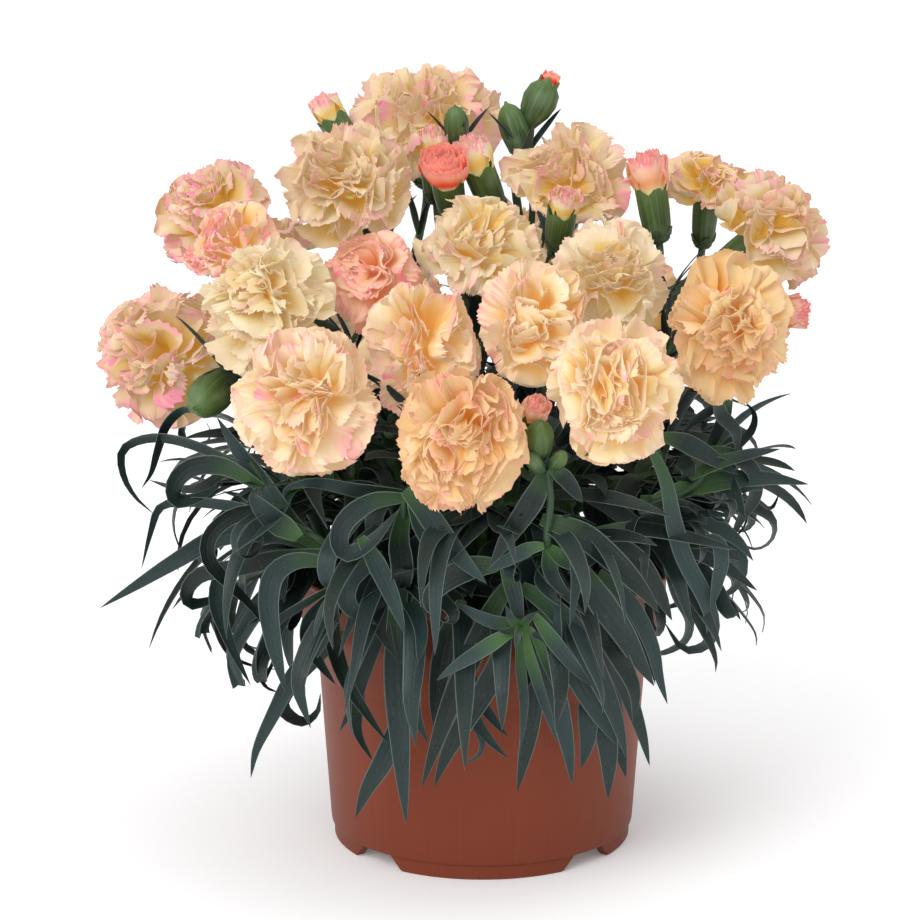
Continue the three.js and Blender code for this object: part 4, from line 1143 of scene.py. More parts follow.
# by low shoot: width in mm, turn at the foot and at the tip in degrees, freshness, and the line's
# points in mm, three numbers to a point
SET_LEAVES = {
    5: [
        (7.6, 20, 30, 0.1, [-52,-64,119, -69,-60,123, -85,-54,120, -101,-50,110, -115,-50,101,
         -125,-52,95]),
        (6.8, 60, 62, 0.1, [-71,-56,139, -82,-52,145, -96,-48,150, -108,-46,151, -117,-46,147,
         -117,-48,139, -113,-50,132, -107,-52,127]),
        (6.2, 66, 60, 0.1, [-90,-50,160, -97,-48,161, -103,-46,155, -106,-46,146, -108,-46,139,
         -111,-46,134]),
        (7.8, 40, 30, 0.2, [-71,-60,138, -83,-60,145, -93,-60,145, -99,-60,140, -99,-58,133, -92,-54,133,
         -84,-50,137]),
        (6.4, 50, 60, 0.1, [-59,-60,122, -75,-56,129, -86,-54,131, -98,-52,131, -105,-52,129,
         -108,-52,121, -111,-54,109]),
        (7.4, 50, 40, 0.05, [-57,-66,125, -71,-68,132, -81,-70,131, -88,-70,124, -88,-70,116,
         -82,-68,108, -75,-66,100, -70,-64,91]),
        (7.8, 45, 30, 0.05, [-50,-66,118, -65,-64,116, -79,-62,112, -91,-60,109, -96,-58,103, -95,-54,97,
         -89,-50,97, -81,-46,98]),
        (6.8, 45, 35, 0.0, [-59,-60,114, -76,-58,112, -85,-56,107, -87,-56,98, -84,-56,88, -80,-56,78,
         -76,-56,70]),
        (5.4, 72, 74, 0.0, [-72,-50,106, -85,-46,99, -88,-46,88, -84,-44,77, -76,-42,72, -67,-40,70]),
        (7.6, 30, 10, 0.0, [-50,-70,116, -60,-72,117, -67,-74,113, -69,-74,104, -68,-74,93, -66,-72,82,
         -64,-70,72]),
        (6.4, 62, 66, 0.0, [-48,-66,107, -58,-66,101, -67,-64,94, -72,-62,85, -73,-60,76, -71,-58,70,
         -66,-56,67]),
        (7.6, 50, 30, 0.0, [-45,-66,102, -53,-64,88, -62,-62,75, -68,-62,63, -74,-62,50, -76,-62,40]),
        (8.0, 58, 40, 0.0, [-43,-56,90, -54,-52,79, -63,-48,68, -66,-44,58, -60,-40,52, -55,-36,54,
         -54,-34,60]),
        (7.0, 40, 20, 0.05, [-46,-78,114, -49,-76,103, -49,-58,86, -45,-62,74, -38,-67,64, -31,-71,55]),
        (6.4, 45, 30, 0.0, [-48,-66,105, -56,-64,95, -57,-62,86, -53,-62,79, -48,-62,72]),
        (8.0, 35, 10, 0.05, [-32,-76,120, -41,-78,115, -44,-80,109, -42,-80,103, -34,-80,98]),
        (6.6, 40, 30, 0.0, [-29,-67,99, -35,-65,88, -39,-62,76, -42,-59,65, -47,-56,54]),
        (6.4, 50, 30, 0.0, [-35,-63,93, -40,-60,80, -41,-59,66, -41,-60,55, -36,-63,46]),
        (8.2, 25, 0, 0.35, [-59,-70,124, -68,-74,132, -73,-74,138, -72,-72,141]),
        (8.2, 20, 30, 0.45, [-52,-64,119, -62,-64,127, -71,-60,139, -80,-54,150, -86,-48,158]),
        (5.0, 60, 50, 0.1, [-76,-52,130, -80,-48,131, -82,-46,123, -80,-46,116, -83,-46,111]),
        (5.6, 50, 60, 0.1, [-83,-48,141, -92,-44,134, -100,-42,133, -109,-40,135]),
    ],
    6: [
        (8.6, 15, 0, 0.0, [-28,-72,107, -28,-72,90, -28,-72,73, -27,-72,57, -26,-73,41, -25,-73,28]),
        (7.8, 20, 0, 0.0, [-26,-68,72, -28,-67,58, -33,-65,46, -38,-62,36, -42,-59,25]),
        (7.8, 15, 0, 0.0, [-38,-70,116, -35,-71,106, -33,-73,96, -28,-75,85]),
        (6.4, 20, 0, 0.05, [-39,-84,128, -34,-84,119, -29,-84,108, -25,-84,96]),
        (7.8, 35, 30, 0.05, [-25,-80,140, -35,-84,140, -43,-86,135, -46,-86,128, -43,-86,123,
         -35,-84,127, -27,-80,136]),
        (7.0, 45, 55, 0.05, [-26,-78,141, -39,-82,143, -53,-84,146, -62,-84,144, -63,-82,140]),
        (7.6, 20, 0, 0.05, [-25,-86,144, -19,-88,138, -12,-90,129, -6,-92,122, 1,-92,115]),
        (7.4, 20, 0, 0.0, [-23,-80,140, -19,-82,131, -14,-84,122, -9,-84,113]),
        (8.4, 20, 20, 0.05, [5,-84,119, -5,-88,119, -14,-90,114, -17,-90,108, -12,-88,101]),
        (8.2, 35, 10, 0.0, [-25,-76,136, -27,-80,126, -26,-84,117, -27,-75,105, -24,-75,91]),
        (7.8, 30, 0, 0.0, [-20,-72,110, -22,-71,93, -23,-71,76, -22,-70,65, -18,-71,55]),
    ],
    7: [
        (5.2, 10, 0, 0.65, [10,-86,98, 5,-89,96, -3,-90,91, -9,-90,87, -15,-89,82]),
        (3.0, 10, 0, 0.9, [12,-84,98, 9,-88,102, 7,-89,107]),
        (3.0, 10, 0, 0.9, [12,-84,98, 14,-88,102, 17,-89,105]),
        (2.8, 10, 0, 0.95, [12,-84,99, 11,-89,98, 10,-91,93]),
        (2.8, 10, 0, 0.95, [12,-84,99, 15,-88,98, 19,-89,95]),
        (2.6, 10, 0, 0.95, [12,-84,99, 8,-88,98, 4,-89,99]),
        (8.0, 20, 0, 0.05, [10,-76,113, 3,-79,103, -3,-81,90, -10,-80,73, -15,-79,58, -20,-78,42]),
        (8.0, 25, 0, 0.05, [8,-79,96, 2,-79,79, -6,-79,65, -12,-78,53, -16,-77,42]),
        (7.8, 30, 0, 0.0, [-7,-73,104, -12,-72,90, -15,-71,73, -16,-71,60]),
        (5.4, 40, 20, 0.0, [-7,-72,87, -3,-72,73, 2,-72,65, 8,-71,57]),
        (5.4, 45, 20, 0.0, [-8,-72,83, -6,-72,70, 0,-72,59, 8,-72,50]),
        (5.0, 60, 50, 0.0, [-10,-71,83, -6,-72,67, -1,-72,58, -1,-72,52, -5,-72,49, -8,-72,49]),
        (3.6, 10, 0, 0.6, [11,-82,95, 12,-82,83, 13,-82,71, 12,-82,57]),
        (7.6, 20, 0, 0.0, [14,-76,95, 16,-75,78, 15,-75,61, 11,-76,40]),
        (3.8, 10, 0, 0.65, [13,-84,97, 16,-84,84, 20,-83,71, 24,-81,58]),
        (3.8, 20, 0, 0.7, [15,-84,98, 20,-84,87, 24,-83,77, 27,-81,69]),
        (5.2, 20, 0, 0.45, [16,-86,103, 22,-88,95, 28,-87,87, 35,-83,78]),
        (7.2, 20, 0, 0.0, [18,-76,91, 23,-74,74, 27,-72,56, 29,-72,41]),
        (5.8, 15, 0, 0.45, [6,-83,121, 9,-83,112, 11,-84,103, 12,-84,96]),
        (4.8, 20, 10, 0.45, [12,-84,100, 5,-85,100, -1,-85,102, -9,-83,106]),
        (8.6, 20, 0, 0.05, [12,-78,110, 22,-79,103, 30,-77,93, 37,-72,78, 43,-68,63, 47,-64,47]),
        (8.0, 25, 0, 0.0, [20,-76,94, 29,-73,80, 37,-68,65, 46,-61,49]),
        (6.8, 20, 0, 0.0, [29,-74,104, 39,-69,88, 47,-62,69, 52,-58,54, 55,-53,41]),
        (9.0, 15, 0, 0.0, [29,-80,119, 36,-82,108, 44,-80,96, 50,-78,85, 55,-76,76]),
        (6.4, 30, 20, 0.05, [37,-72,113, 47,-70,102, 54,-68,88, 57,-66,76, 60,-64,66]),
        (8.6, 15, 10, 0.1, [18,-88,135, 30,-90,131, 41,-90,122, 50,-88,112, 56,-84,103]),
        (8.0, 25, 10, 0.0, [34,-76,125, 47,-74,119, 55,-70,108, 61,-66,95]),
        (7.4, 25, 0, 0.0, [35,-66,75, 34,-66,64, 34,-66,54, 32,-67,45]),
        (8.4, 25, 0, 0.0, [38,-65,78, 39,-64,63, 41,-63,48, 41,-63,33]),
        (8.4, 30, 0, 0.0, [36,-67,85, 41,-64,67, 44,-61,53, 47,-59,39]),
        (7.6, 15, 0, 0.1, [20,-90,152, 15,-92,142, 8,-92,131, 2,-92,121]),
        (5.6, 20, 10, 0.15, [21,-92,153, 26,-94,149, 31,-94,142]),
        (5.4, 30, 20, 0.35, [19,-90,127, 14,-90,126, 7,-90,122, 1,-88,118]),
        (5.6, 20, 20, 0.5, [20,-88,126, 26,-90,122, 32,-88,121, 38,-84,123]),
        (5.4, 20, 20, 0.4, [20,-88,126, 21,-92,119, 24,-92,114, 28,-90,110]),
    ],
    8: [
        (7.4, 40, 20, 0.05, [53,-66,153, 58,-68,142, 61,-66,127, 65,-62,114, 72,-58,100, 75,-54,89,
         73,-48,81, 66,-42,78, 60,-38,86]),
        (7.0, 55, 55, 0.0, [59,-46,110, 63,-40,97, 68,-34,86, 67,-30,77, 59,-28,72, 51,-28,74]),
        (7.4, 50, 50, 0.1, [36,-70,126, 50,-68,126, 67,-64,122, 82,-60,117]),
        (6.4, 40, 20, 0.05, [67,-58,118, 75,-58,119, 77,-58,113, 76,-58,106, 74,-58,96]),
        (7.4, 35, 15, 0.1, [51,-50,131, 64,-46,127, 76,-42,120, 84,-40,114, 89,-38,107]),
        (7.2, 30, 15, 0.05, [48,-46,118, 65,-40,113, 79,-36,105, 91,-32,95]),
        (5.6, 60, 60, 0.1, [50,-66,131, 58,-64,133, 66,-60,132, 71,-58,126]),
        (7.6, 30, 20, 0.85, [55,-54,132, 67,-50,135, 80,-44,136, 94,-38,135, 107,-34,132]),
        (5.6, 45, 35, 0.85, [67,-50,138, 76,-46,142, 86,-42,144, 97,-38,145]),
        (7.0, 45, 30, 0.1, [71,-44,146, 80,-42,144, 88,-40,138, 89,-38,129, 85,-38,122, 81,-38,113]),
        (4.6, 70, 60, 0.0, [76,-30,132, 84,-26,126, 91,-22,123, 96,-20,120, 99,-18,125]),
        (4.4, 60, 60, 0.0, [72,-26,132, 80,-24,127, 86,-22,121, 92,-20,115]),
        (6.0, 60, 60, 0.05, [75,-40,138, 83,-36,145, 88,-34,150, 89,-32,155, 86,-30,159]),
        (6.2, 40, 30, 0.05, [75,-46,165, 77,-44,158, 82,-42,152, 83,-40,144]),
        (6.0, 45, 30, 0.05, [80,-40,163, 78,-38,155, 75,-36,147, 72,-34,140]),
        (5.4, 55, 45, 0.05, [79,-36,161, 73,-36,157, 68,-36,153, 65,-36,149]),
        (8.0, 35, 30, 0.0, [58,-54,153, 67,-50,149, 76,-46,143, 83,-44,138]),
    ],
}


print(sum(len(leaves) for leaves in SET_LEAVES.values()), "leaves on their own lines")

# %% [markdown]
# The points of a line aren't evenly spaced, so the blade's rows are set at even distances along it.

# %% Making the set leaves
SET_LEAF_ROWS = 24
TWIG_RADIUS = 1.5
TOWARDS_FRONT = np.array([0.0, -0.97, 0.25])


def even_line(points, count):
    """Places along a smooth curve, at even distances."""
    dense = curve_places(points, np.linspace(0, 1, 200))
    way = np.concatenate([[0], np.cumsum(np.linalg.norm(np.diff(dense, axis=0), axis=1))])
    at = np.linspace(0, way[-1], count)
    return np.stack([np.interp(at, way, dense[:, axis]) for axis in range(3)], -1)


def add_set_leaf(batch, points, width, turns, fresh, numbers):
    """Adds one leaf along its own line."""
    places = even_line(np.reshape(points, (-1, 3)), SET_LEAF_ROWS)
    alongs = np.linspace(0, 1, SET_LEAF_ROWS)[:, None]
    ahead = unit(np.gradient(places, axis=0))
    level = unit(np.cross(ahead, TOWARDS_FRONT))
    turn = np.radians(mix(turns[0], turns[1], alongs))
    side = level * np.cos(turn) + np.cross(level, ahead) * np.sin(turn)
    over = np.cross(side, ahead)
    half = width / 2 * leaf_width(alongs)
    across = (LEAF_ACROSS * half)[..., None] * side[:, None]
    channel = leaf_channel(half, alongs)[..., None] * over[:, None]
    add_blade(batch, places[:, None] + across + channel, alongs, width, fresh, numbers)


def add_set_leaves(batch, number, tip, numbers):
    """Adds the twigs of a low shoot and the leaves that they carry."""
    for twig in TWIGS.get(number, ()):
        add_green_stem(batch, [tip, *twig], TWIG_RADIUS, 0.6, 14, 0.35)
    for width, at_foot, at_tip, fresh, points in SET_LEAVES.get(number, ()):
        add_set_leaf(batch, points, width, (at_foot, at_tip), fresh, numbers)


first_strap = even_line(np.reshape(SET_LEAVES[5][0][-1], (-1, 3)), SET_LEAF_ROWS)
print("the first strap reaches", np.round(np.ptp(first_strap, axis=0)), "mm")

# %% [markdown]
# The blue comes from a wax bloom over dark green, so the finish blends from green at the sheath and in
# young leaves to grey-blue on the blade, patchy where the wax has rubbed off. The margin is a pale line,
# the midrib a faint groove, and fine veins run the whole length.

# %% Leaf finish
wax_constants = {"IOR": 1.45, "Specular IOR Level": 0.34, "Sheen Weight": 0.03}
wax_constants.update({"Sheen Roughness": 0.6, "Sheen Tint": shade(190, 210, 225)})
leaf_finish = Finish("waxy_leaf", wax_constants)
wax = leaf_finish.noise(60.0, 4.0) * 0.6 + leaf_finish.value("tone") * 0.42 + 0.16
veins = leaf_finish.noise(1.0, 3.0, stretch=(60, 3, 1))
from_midrib = leaf_finish.place("X").distance_from(0.5)
margin = from_midrib.ease(0.44, 0.49)
speckle = leaf_finish.noise(1500.0, 2.0).ease(0.62, 0.72)
leaf_colour = leaf_finish.layered(
    shade(13, 26, 20),
    (wax.clamped(), shade(43, 62, 62)),
    (leaf_finish.value("fresh") * 0.9, shade(72, 108, 52)),
    (veins.ease(0.45, 0.7) * 0.12, shade(104, 124, 118)),
    (speckle * 0.12, shade(130, 145, 135)),
    (margin * 0.38, shade(140, 156, 146)),
)
leaf_height = veins * 0.4 - (1 - from_midrib.ease(0.0, 0.06)) * 0.8
leaf_shine = 0.38 + wax * 0.16
leaf_material = leaf_finish.paint(leaf_colour, leaf_shine, leaf_height, 0.00018, 0.5)
print("the leaf's finish has", len(leaf_finish.tree.nodes), "nodes")

# %% [markdown]
# Everything is ready for the shoots to grow: the low ones in a ring just inside the rim, the tall ones
# between them and the middle. Each becomes one piece, with its stem, pairs, side shoots and twigs.

# %% Growing the shoots
LOW_FOOT = 47.0
TALL_FOOT = 35.0

leaf_count = 0
for number in range(LOW_SHOOTS):
    compass = LOW_WEDGE * (number + 0.5)
    foot = around(LOW_FOOT, compass, SOIL_TOP - HOLE_DEPTH)
    draw = seeded_draw(900 + number)
    reach = mix(66, 74, draw())
    height = mix(106, 110, draw())
    tip = around(reach, compass + 12 * (draw() - 0.5), height)
    line = [foot, around(LOW_FOOT, compass, SOIL_TOP + 4), around(51, compass, SOIL_TOP + 16), tip]
    plan = (line, compass, LOW_PAIRS, LOW_EXTRA, low_room(compass, LOW_WEDGE / 2), 100 + number)
    leaf_count += grow_shoot("low_shoot", number + 1, *plan)

for number in range(TALL_SHOOTS):
    compass = TALL_WEDGE * (number + 0.5)
    foot = around(TALL_FOOT, compass, SOIL_TOP - HOLE_DEPTH)
    draw = seeded_draw(950 + number)
    tip_radius = mix(52, 62, draw())
    tip = around(tip_radius, compass + 10 * (draw() - 0.5), 128)
    line = [foot, around(TALL_FOOT, compass, SOIL_TOP + 8), around(TALL_FOOT, compass, 118), tip]
    plan = (line, compass, TALL_PAIRS, TALL_EXTRA, tall_room(compass, TALL_WEDGE / 2), 200 + number)
    leaf_count += grow_shoot("tall_shoot", number + 1, *plan)

print(leaf_count, "leaves in pairs on", LOW_SHOOTS + TALL_SHOOTS, "shoots")

# %% [markdown]
# ## The plan of the flowers
#
# Each spray of flowers has a foot in the soil, a fork, and the blooms and buds that it carries. The
# places and directions are those of the solids, in millimetres from the pot's axis. A kind of petal
# goes with each bloom, and how much pink has run into its edges.


# %% Blooms, buds and sprays
CALYX_LENGTH = 18.0
BUD_CUP = 0.95  # a bud's cup has this share of a bloom's length
WIDEST_BUD_CUP = 5.4
MIDDLE_ABOVE_CUP = 0.4  # the middle of a bloom stands this share of its radius above its cup


def bloom(at, compass, rise, radius, kind, pink, openness=1.0, spread=1.0, fullness=1.0, tall=1.0):
    """A bloom: its middle, the way that it faces, its radius, and its colouring.

    spread and fullness widen its round of petals and raise its dome, and tall draws it out up and down,
    as the weight of its petals does.
    """
    facing = direction(compass, rise)
    centre = np.array(at, float)
    mouth = centre - MIDDLE_ABOVE_CUP * radius * facing
    return dict(centre=centre, facing=facing, mouth=mouth, foot=mouth - CALYX_LENGTH * facing,
                radius=radius, kind=kind, pink=pink, openness=openness, spread=spread,
                fullness=fullness, tall=tall)


# the blooms at the back and top take the cream petals with painted shade, a little darker than cream
BLOOMS = {
    "top": bloom((-19, 40, 243), -90, 70, 28.5, "ivory", 0.3, fullness=0.7),
    "upper_left": bloom((-46, -5, 227), -105, 40, 24, "ivory", 0.22),
    "far_left": bloom((-91, 16, 213), -150, 50, 21.5, "ivory", 0.7),
    "pink_left": bloom((-82, -24, 209), -140, 42, 17.5, "peach", 1.1, 0.8),
    "left": bloom((-70, -50, 195), -115, 35, 24.5, "cream", 0.08),
    "left_edge": bloom((-107, -15, 171), -140, 8, 26, "ivory", 0.5),
    "front_left": bloom((-56, -84, 172), -98, 12, 24.5, "peach", 0.22, tall=1.06),
    "salmon": bloom((-36, -30, 198), -110, 30, 17.5, "salmon", 0.35, 0.6, 1.1, 1.1),
    "peach": bloom((-20, -54, 181), -102, 5, 20, "peach", 0.35, 1.0, 1.06, 1.0, 1.22),
    "front": bloom((-7, -97, 163), -90, -8, 23.5, "gold", 0.25, 1.0, 0.94, 1.1, 1.18),
    "middle": bloom((-1, -18, 209), -90, 58, 22, "cream", 0.12, 1.0, 1.06, 0.75),
    "inner_right": bloom((16, -62, 193), -100, 20, 19.5, "peach", 0.2, 0.95, 1.04, tall=1.06),
    "upper_right": bloom((28, 8, 227), -90, 52, 22, "ivory", 0.3, 1.0, 1.08, 0.7),
    "right": bloom((41, -33, 201), -80, 36, 21, "cream", 0.15, 1.0, 1.04),
    "front_right": bloom((41, -92, 178), -88, 5, 22.5, "peach", 0.15, tall=1.13),
    "right_edge": bloom((79, -48, 187), -72, 10, 22.5, "gold", 0.12, tall=1.18),
    "small_right": bloom((76, 24, 221), -80, 74, 15, "ivory", 0.5, 0.7, 1.35, 0.8),
    "far_right": bloom((96, -4, 212), -20, 40, 22.5, "ivory", 0.3),
    "back_left": bloom((-75, 50, 184), 145, 32, 23, "ivory", 0.5),
    "back_middle": bloom((-34, 86, 166), 108, 18, 23, "peach", 0.4),
    "back": bloom((14, 92, 184), 86, 30, 24, "ivory", 0.4),
    "back_right": bloom((58, 78, 166), 58, 18, 23, "peach", 0.5),
    "back_edge": bloom((90, 42, 172), 20, 15, 22, "peach", 0.6),
}


def bud(at, compass, rise, radius, length, kind="green", flare=0.0, belly=1.0):
    """A bud: the mouth of its calyx, the way that it points, and the size of the petals that show.

    flare is how far its petals lean out, and belly how much wider its calyx is in the middle.
    """
    facing = direction(compass, rise)
    mouth = np.array(at, float)
    depth = 3.1 * radius if kind == "green" else BUD_CUP * CALYX_LENGTH
    return dict(mouth=mouth, facing=facing, foot=mouth - depth * facing, radius=radius,
                length=length, kind=kind, flare=flare, belly=belly)


OPENING_BUDS = {
    "rosette": bud((-12, 5, 226), -105, 58, 8.8, 13, "coral", -0.05),
    "cream": bud((-1, 11, 228), -150, 66, 6.6, 14, "cream", -0.12),
    "pale": bud((-16, 16, 232), -100, 78, 5.2, 12, "cream", -0.15),
    "top_left": bud((-50, 28, 242), 170, 58, 5.6, 11, "cream", -0.1),
    "top_right": bud((22, 30, 254), 20, 62, 3.9, 4.5, "coral", -0.3, 1.72),
    "small": bud((26, -14, 219), -80, 60, 5.4, 10, "cream", 0.0),
    "coral": bud((56, 3, 222), 160, 80, 7.2, 15, "salmon", 0.05),
    "right_edge": bud((98, -9, 184), -15, 12, 5.6, 11, "salmon", 0.1),
    "front": bud((15, -84, 168), -70, 40, 5.2, 10, "salmon", -0.3),
}
GREEN_BUDS = {
    "top": bud((9, 27, 245), 150, 68, 5.0, 0),
    "left": bud((-91, -52, 164), -112, -8, 6.8, 0),
    "front": bud((17.5, -93, 165.5), -80, 62, 4.9, 0),
    "front_low": bud((14.5, -95, 157), -130, 45, 2.7, 0),
    "front_side": bud((24.5, -93, 157), -50, 45, 2.7, 0),
    "by_top": bud((-9, 13, 247), -100, 70, 4.2, 0),
}


def spray(foot, fork, blooms, buds=(), green=()):
    """A spray: the radius and compass of its foot, its fork, and the names of what it carries."""
    return dict(foot=foot, fork=np.array(fork, float), blooms=blooms, buds=buds, green=green)


SPRAYS = {
    "left_back": spray((29, 176), (-42, 6, 166), ["far_left", "pink_left"]),
    "left": spray((30, 206), (-46, -20, 148), ["left_edge", "left"], green=["left"]),
    "front_left": spray((26, 238), (-30, -34, 150), ["front_left", "salmon"]),
    "top": spray((24, 140), (-26, 24, 182), ["upper_left", "top"], ["top_left"]),
    "front": spray((28, 270), (3, -40, 150), ["front", "peach", "front_right"], ["front"],
                   ["front", "front_low", "front_side"]),
    "middle": spray((4, 120), (-2, 3, 170), ["middle"], ["rosette", "cream", "pale"], ["by_top"]),
    "inner_right": spray((14, 310), (22, -18, 160), ["inner_right", "right"], ["small"]),
    "upper_right": spray((17, 60), (16, 27, 186), ["upper_right"], ["top_right"], ["top"]),
    "right": spray((30, 332), (48, -16, 152), ["right_edge"], ["right_edge"]),
    "far_right": spray((30, 5), (46, 10, 168), ["far_right", "small_right"], ["coral"]),
    "back_right": spray((28, 45), (38, 36, 146), ["back_right", "back_edge"]),
    "back": spray((28, 88), (4, 42, 152), ["back"]),
    "back_left": spray((30, 124), (-32, 38, 146), ["back_left", "back_middle"]),
}
buds = len(OPENING_BUDS) + len(GREEN_BUDS)
print(len(BLOOMS), "blooms and", buds, "buds on", len(SPRAYS), "sprays")

# %% [markdown]
# ## Stems, calyxes and green buds
#
# A carnation stem swells at every joint and carries a pair of thin leaves there. Near the flower it
# widens into the calyx, a smooth cup with five teeth and short scales round its foot. A closed bud is
# the same cup drawn together over its petals. All of it is round, so rings along a line make it.

# %% Stems
STEM_RADIUS = 1.7
BRANCH_RADIUS = 1.3
JOINTS = (0.42, 0.58, 0.72, 0.87)
JOINT_REACH = 0.018
STEM_SIDES = 10


def add_stem(batch, line, radius, joints, rows=40):
    """A stem along a curve, half as thick again at its joints."""
    shares = np.linspace(0, 1, rows)
    swell = np.zeros(rows)
    for joint in joints:
        swell = swell + np.exp(-(((shares - joint) / JOINT_REACH) ** 2))
    rings = round_rings(curve_places(line, shares), radius * (1 + 0.5 * swell), STEM_SIDES)
    add_tube(batch, rings, fresh=0.35 * swell)


def stalk_line(fork, flower, steps=12):
    """A stalk leaves its fork and meets the flower along the flower's own axis."""
    distance = np.linalg.norm(fork - flower["foot"])
    early = mix(fork, flower["foot"], 0.35) + UP * 0.12 * distance
    late = flower["foot"] - flower["facing"] * 0.38 * distance
    t = np.linspace(0, 1, steps)[:, None]
    start = (1 - t) ** 3 * fork + 3 * (1 - t) ** 2 * t * early
    return start + 3 * (1 - t) * t**2 * late + t**3 * flower["foot"]


# %% [markdown]
# The cup is a ring of five sepals grown together. Its rings go up the outside, over the teeth and back
# down inside, so it has a real wall, and shallow furrows mark where the sepals meet.

# %% Calyx
CALYX_RADIUS = 5.6
CALYX_SIDES = 30
SEPALS = 5
SCALES = 4

# outlines as shares of a cup's radius and length, and how much the teeth show
CUP_SIDE = [(0.3, -1.0), (0.6, -0.96), (0.8, -0.82), (0.92, -0.6), (0.98, -0.35), (1.0, -0.12)]
CUP_LIP = [(1.0, -0.06, 0.5), (1.02, 0.0, 1.0), (0.96, 0.0, 0.96), (0.88, -0.1, 0.3), (0.5, -0.14, 0)]
SCALE_ROUNDS = ((-0.98, 0.78, 0.2), (-0.9, 0.92, 0.16))  # their foot, width and height

# outlines of a green bud and of its scales, in its own radii
BUD_SIDE = [
    (0.35, -3.05, 0), (0.7, -2.7, 0), (0.92, -2.1, 0), (1.02, -1.3, 0), (0.98, -0.6, 0),
    (0.84, -0.1, 0), (0.6, 0.3, 0), (0.34, 0.52, 0), (0.16, 0.62, 0), (0.07, 0.7, 1.0),
]
BUD_SCALES = [(0.4, -3.1, 0), (0.85, -2.6, 0), (1.0, -2.0, 1), (0.92, -2.0, 0.96), (0.4, -2.8, 0)]


def cup_rings(outline, teeth, tooth, furrow, turn):
    """Rings of a toothed cup from (radius, height, how much the teeth show) rows."""
    angles = angles_round(CALYX_SIDES) + turn
    peak = np.abs(np.cos(teeth * (angles - turn) / 2)) ** 1.6
    rings = []
    for radius, height, shown in outline:
        reach = radius * (1 - furrow * (1 - peak) ** 3)
        up = height + tooth * shown * peak
        rings.append(np.stack([reach * np.cos(angles), reach * np.sin(angles), up], -1))
    return np.array(rings)


def sized(outline, radius, length):
    return [(radius * share, length * height, shown) for share, height, shown in outline]


def add_placed(batch, rings, flower, end=1.0, **values):
    """Adds rings that were made round +Z to a flower, with their zero at the mouth of its cup."""
    placed = turned_from_up(rings.reshape(-1, 3), flower["facing"]).reshape(rings.shape)
    add_tube(batch, placed + flower["mouth"], end, **values)


def add_calyx(batch, flower, length, radius, tooth, numbers, belly=1.0):
    """A green cup with five teeth, and two rounds of short scales that clasp its foot."""
    turn = numbers.uniform(0, 6.28)
    rows = []
    for share, height in CUP_SIDE:
        swollen = 1 + (belly - 1) * math.sin(math.pi * min(1, -height + 0.12))
        rows.append((radius * share * swollen, length * height, 0.0))
    rings = cup_rings(rows + sized(CUP_LIP, radius, length), SEPALS, tooth, 0.06, turn)
    add_placed(batch, rings, flower, tone=numbers.uniform(-1, 1), blush=1.0)
    for height, share, lift in SCALE_ROUNDS:
        width = radius * share
        base = length * height
        top = base + lift * length * 0.5
        rows = [(radius * 0.3, base, 0), (width * 0.92, base + 0.06 * length, 0)]
        rows += [(width * 1.06, top, 1.0), (width * 0.96, top, 0.98), (radius * 0.4, base + 1, 0)]
        rings = cup_rings(rows, SCALES, lift * length * 0.9, 0.1, turn + numbers.uniform(0, 2))
        add_placed(batch, rings, flower, 0.5, tone=-0.5, blush=0.6)


def add_green_bud(batch, flower, numbers):
    """A closed calyx: an egg with five seams, and a tuft of teeth drawn together at its tip."""
    radius = flower["radius"]
    turn = numbers.uniform(0, 6.28)
    rings = cup_rings(sized(BUD_SIDE, radius, radius), SEPALS, 0.12 * radius, 0.09, turn)
    add_placed(batch, rings, flower, tone=numbers.uniform(-1, 1), blush=1.0)
    rings = cup_rings(sized(BUD_SCALES, radius, radius), SCALES, 0.7 * radius, 0.1, 0.4)
    add_placed(batch, rings, flower, 0.5, tone=-0.4, blush=0.7)


print("a cup is", CALYX_LENGTH, "mm long and", 2 * CALYX_RADIUS, "mm wide, with", SEPALS, "teeth")

# %% [markdown]
# Stems are pale green under a thin wax. The cups are a deeper, glossier green, darkest at the foot and
# yellow-green towards the teeth, with fine ribs.

# %% Stem finish
stem_constants = {"IOR": 1.45, "Specular IOR Level": 0.45, "Subsurface Weight": 0.08}
stem_constants.update({"Subsurface Radius": (0.4, 1.0, 0.3), "Subsurface Scale": 0.0015})
stem_finish = Finish("stem_and_calyx", stem_constants)
cup = stem_finish.value("blush")
cup_along = stem_finish.place("Y")
ribs = stem_finish.noise(1.0, 2.0, stretch=(70, 1.5, 1))
haze = stem_finish.noise(120.0, 3.0)
bare_stem = stem_finish.blend(haze, shade(50, 76, 54), shade(82, 108, 84))
bare_stem = stem_finish.blend(stem_finish.value("fresh"), bare_stem, shade(112, 138, 90))
cup_colour = stem_finish.layered(
    shade(30, 50, 24),
    (cup_along.ease(0.05, 0.7), shade(72, 98, 46)),
    (ribs.ease(0.4, 0.7) * 0.45, shade(112, 136, 82)),
    (haze.ease(0.45, 0.7) * 0.3, shade(120, 140, 112)),
)
stem_colour = stem_finish.blend(cup, bare_stem, cup_colour)
stem_shine = 0.5 - cup * 0.12 + haze * 0.12
stem_material = stem_finish.paint(stem_colour, stem_shine, ribs, 0.00012, 0.4)
print("the finish of stems and cups has", len(stem_finish.tree.nodes), "nodes")

# %% [markdown]
# Each spray becomes two pieces, its green stems with their cups, and the thin leaves at its joints.

# %% Sprays
KNEE_HEIGHT = 132.0
FORK_KNOB = [1.2, 2.1, 2.5, 2.6, 2.5, 2.0, 1.0]  # the radii of the swelling at a fork
FORK_REACH = 2.4
STALK_ROWS = 24

